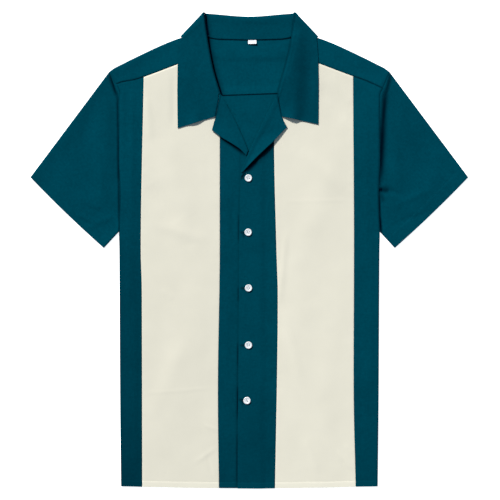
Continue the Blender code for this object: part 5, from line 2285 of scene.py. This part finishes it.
@dataclass(frozen=True)
class Buttons:
    """Five turned four-hole buttons with their thread, over worked buttonholes."""

    dress: Dress
    bench: Bench
    places: tuple[tuple[float, float, float], ...] = (
        (-1.6, 122.7, 18), (-2, 30.7, -9), (-1.4, -64, 32), (-1.4, -161, 5), (-4, -255, -21),
    )
    outline: tuple[tuple[float, float], ...] = (
        (0, 0), (1.2, 0), (2.9, 0), (4.9, 0), (5.5, 0.1), (5.95, 0.4), (6.18, 0.85), (6.2, 1.3), (6.12, 1.8),
        (5.85, 2.2), (5.45, 2.44), (5, 2.5), (4.6, 2.42), (4.25, 2.2), (3.95, 1.95), (3.6, 1.82), (2.9, 1.76),
        (1.2, 1.74), (0, 1.74),
    )
    sides: int = 48
    hole_out: float = 2.05
    hole_radius: float = 0.72
    stand_off: float = 0.35
    hole_left: float = -14.3
    hole_right: float = 2.5
    hole_pitch: float = 0.48
    hole_sides: tuple[float, float] = (0.22, 1.25)
    strand_gap: float = 0.34
    strand_rise: float = 1.86

    def hole(self, turn: float, quarter: int) -> Vector:
        """Where one of the four holes is, from the button's middle."""
        angle = math.radians(turn + 45.0 + 90.0 * quarter)
        return level(math.cos(angle), math.sin(angle)) * self.hole_out

    def turned(self, turn: float) -> bmesh.types.BMesh:
        """A button's body, spun from its outline, with its four holes cut through.

        Args:
            turn: the angle of its holes, in degrees.

        Returns:
            The shape, its foot at height 0.
        """
        shape = bmesh.new()
        points = [shape.verts.new(Vector((out, 0.0, z)) * MM) for out, z in self.outline]
        edges = [shape.edges.new(pair) for pair in zip(points, points[1:])]
        bmesh.ops.spin(
            shape, geom=points + edges, cent=(0.0, 0.0, 0.0), axis=UP, angle=math.tau, steps=self.sides,
            use_merge=True,
        )
        bmesh.ops.remove_doubles(shape, verts=shape.verts, dist=0.01 * MM)
        for quarter in range(4):
            self.pierce(shape, self.hole(turn, quarter))
        bmesh.ops.recalc_face_normals(shape, faces=shape.faces)
        return shape

    def pierce(self, shape: bmesh.types.BMesh, centre: Vector) -> None:
        """Cuts one thread hole: a patch of each face is drawn to a circle, opened, and the two are bridged.

        Args:
            shape: the button.
            centre: the hole's centre.
        """
        rims = []
        for low in (True, False):
            near = [
                face for face in shape.faces
                if (face.calc_center_median().xy / MM - centre.xy).length < 1.05
                and (face.calc_center_median().z < 0.5 * MM) is low
            ]
            patch = bmesh.ops.dissolve_faces(shape, faces=near)["region"][0]
            bmesh.ops.inset_individual(shape, faces=[patch], thickness=0.05 * MM)
            for vert in patch.verts:
                away = vert.co.xy / MM - centre.xy
                vert.co.xy = (centre.xy + away.normalized() * self.hole_radius) * MM
            rims.append(list(patch.edges))
            bmesh.ops.delete(shape, geom=[patch], context="FACES_ONLY")
        bmesh.ops.bridge_loops(shape, edges=rims[0] + rims[1])

    def build(self) -> list[bpy.types.Object]:
        """Makes the buttons, their thread and the buttonholes.

        Returns:
            The finished pieces.
        """
        made = []
        thread = Stitching("button_thread", self.bench, radius=0.26)
        holes = Stitching("buttonhole_thread", self.bench, radius=0.2)
        # Near-black grains in the buttonholes' slits: painted shadows.
        slit_shadows = Stitching("buttonhole_slit_shadows", self.bench)
        for number, (x, y, turn) in enumerate(self.places, start=1):
            name = f"button_{number}_turned"
            foot = Vector((x, y, self.bench.height(x, y) + self.stand_off))
            body = self.turned(turn)
            bmesh.ops.translate(body, vec=foot * MM, verts=body.verts)
            button = link(name, mesh_of(body, name), self.dress.of(Slot.BUTTON), Slot.BUTTON)
            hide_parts(f"button_{number}")
            made.append(button)
            self.sew(thread, foot, turn)
            self.work(holes, slit_shadows, y)
        dress = self.dress
        made.append(thread.finish(dress.get(dress.white_thread), Slot.LABEL))
        # The buttonhole thread's darker colour is painted shade.
        made.append(holes.finish(dress.get(dress.shaded_buttonhole_thread), Slot.TEAL))
        made.append(slit_shadows.finish(dress.get(dress.shadow), Slot.TEAL))
        return made

    def sew(self, thread: Stitching, foot: Vector, turn: float) -> None:
        """Adds a button's thread: strands across its holes, and the shank under it.

        Args:
            thread: the stitches it joins.
            foot: the middle of the button's underside.
            turn: the angle of its holes, in degrees.
        """
        corners = [foot + self.hole(turn, quarter) for quarter in range(4)]
        for start, end in ((corners[0], corners[3]), (corners[1], corners[2])):
            square = (end - start).normalized().cross(UP)
            for offset in (-self.strand_gap, 0.0, self.strand_gap):
                lift = UP * (self.strand_rise + 0.12 * (offset == 0.0)) + square * offset
                thread.stitch(start + lift, end + lift)
        for corner in corners:
            thread.stitch(corner + UP * 1.8, corner - UP * 0.6, radius=0.42)

    def work(self, thread: Stitching, slit_shadows: Stitching, y: float) -> None:
        """Adds one buttonhole: a slit with close stitches along both sides, a bar at its end, and a
        near-black grain in the slit as its painted shadow.

        Args:
            thread: the stitches it joins.
            slit_shadows: the near-black grains, painted shadows in the slits, that it joins.
            y: its place along the band.
        """
        left, right = self.hole_left, self.hole_right
        near, far = self.hole_sides
        across = even(left, right, int((right - left) / self.hole_pitch))
        crossings = [(x, *ends, 0.04) for x in across for ends in ((-far, -near), (near, far))]
        crossings += [(left + off, -1.3, 1.3, 0.1) for off in (-0.55, -0.15, 0.25)]
        for x, low, high, lift in crossings:
            ends = [(x, y + off, self.bench.height(x, y + off) + lift) for off in (low, high)]
            thread.stitch(*(Vector(end) for end in ends))
        # A near-black grain along the slit: its painted shadow.
        ends = [Vector((x, y, self.bench.height(x, y))) for x in (left + 0.6, right - 0.6)]
        slit_shadows.stitch(*ends, radius=0.17)


@dataclass(frozen=True)
class SizeLabel:
    """The bare size label in the back of the neck, sewn down along its upper edge."""

    dress: Dress
    centre: tuple[float, float] = (5.0, 354.2)
    size: tuple[float, float] = (14.2, 7.0)
    tilt: float = 2.0
    curl: float = 2.2

    def spot(self, across: float, up: float) -> Vector:
        """A point of its face, from its lower left corner at (0, 0) to its upper right one.

        Args:
            across, up: the place.

        Returns:
            The point.
        """
        level = Vector(((across - 0.5) * self.size[0], (up - 0.5) * self.size[1]))
        level.rotate(Matrix.Rotation(math.radians(self.tilt), 2))
        loose = (1.0 - up) ** 2 * self.curl * (0.5 + across)
        height = LAY.yoke_step + WALL + 0.75 + loose + 0.12 * math.sin(across * 5.0)
        return Vector((self.centre[0] + level.x, self.centre[1] + level.y, height))

    def build(self) -> bpy.types.Object:
        """Builds the label.

        Returns:
            The finished piece.
        """
        cloth = Cloth("size_label_tape")
        shares = even(0.0, 1.0, 14)
        cloth.lay(shares, shares, self.spot)
        return cloth.finish(
            self.dress, Slot.LABEL, "size_label", (0.0145, 0.0100), rests_on=["yoke_cloth"], wall=0.35
        )


@dataclass(frozen=True)
class Studio:
    """The floor, the soft lights and the camera straight above."""

    dress: Dress
    camera_height: float = 4.0
    sensor: float = 36.0
    centre: tuple[float, float] = (0.65, 0.35)
    floor_size: float = 12.0
    floor_drop: float = 0.3
    sky: float = 0.25
    sky_tint: Colour = (0.80, 1.0, 1.25)
    key: float = 4.57
    key_tint: Colour = (1.0, 0.948, 0.885)
    key_azimuth: float = 122.0
    key_elevation: float = 41.0
    key_softness: float = 7.0
    key_away: float = 3.0

    def floor(self) -> None:
        """Lays the sweep just under the shirt."""
        shape = bmesh.new()
        bmesh.ops.create_grid(shape, x_segments=1, y_segments=1, size=self.floor_size / 2.0)
        mesh = mesh_of(shape, "floor")
        mesh.materials.append(self.dress.get(self.dress.paper))
        sweep = bpy.data.objects.new("floor", mesh)
        sweep.location.z = -self.floor_drop * MM
        bpy.context.scene.collection.objects.link(sweep)

    def light(self) -> None:
        """Sets a cool pale sky, and a broad warm sun from the upper left."""
        world = bpy.data.worlds.new("studio_sky")
        bpy.context.scene.world = world
        world.use_nodes = True
        sky = world.node_tree.nodes["Background"]
        sky.inputs["Color"].default_value = rgba(self.sky_tint)
        sky.inputs["Strength"].default_value = self.sky
        lamp = bpy.data.lights.new("key", "SUN")
        lamp.angle = math.radians(self.key_softness)
        lamp.energy = self.key
        lamp.color = self.key_tint
        holder = bpy.data.objects.new("key", lamp)
        turn, rise = math.radians(self.key_azimuth), math.radians(self.key_elevation)
        towards = Vector((math.cos(turn) * math.cos(rise), math.sin(turn) * math.cos(rise), math.sin(rise)))
        holder.rotation_euler = (-towards).to_track_quat("-Z", "Y").to_euler()
        holder.location = towards * self.key_away
        bpy.context.scene.collection.objects.link(holder)

    def camera(self) -> None:
        """Hangs the camera straight above, framed as the photograph is."""
        lens = bpy.data.cameras.new("camera")
        lens.sensor_width = self.sensor
        lens.lens = self.sensor * self.camera_height / (PICTURE * PIXEL * MM)
        holder = bpy.data.objects.new("camera", lens)
        holder.location = (self.centre[0] * PIXEL * MM, self.centre[1] * PIXEL * MM, self.camera_height)
        bpy.context.scene.collection.objects.link(holder)
        bpy.context.scene.camera = holder

    def build(self) -> None:
        """Sets everything up."""
        self.floor()
        self.light()
        self.camera()
        bpy.context.scene.view_settings.view_transform = "Standard"


def main() -> None:
    """Builds the shirt piece by piece, then the studio."""
    logging.basicConfig(level=logging.INFO, format="%(name)s: %(message)s")
    dress = Dress()
    body = Body(dress)
    sleeves = Sleeves(dress)
    cloth = body.build()
    cloth += [Yoke(dress).build(), Collar(dress).build(), *Lapels(dress).build(), *sleeves.build()]
    bench = Bench(cloth)
    Topstitching(dress, body, sleeves, bench).build()
    Buttons(dress, bench).build()
    SizeLabel(dress).build()
    Studio(dress).build()


if __name__ == "__main__":
    main()
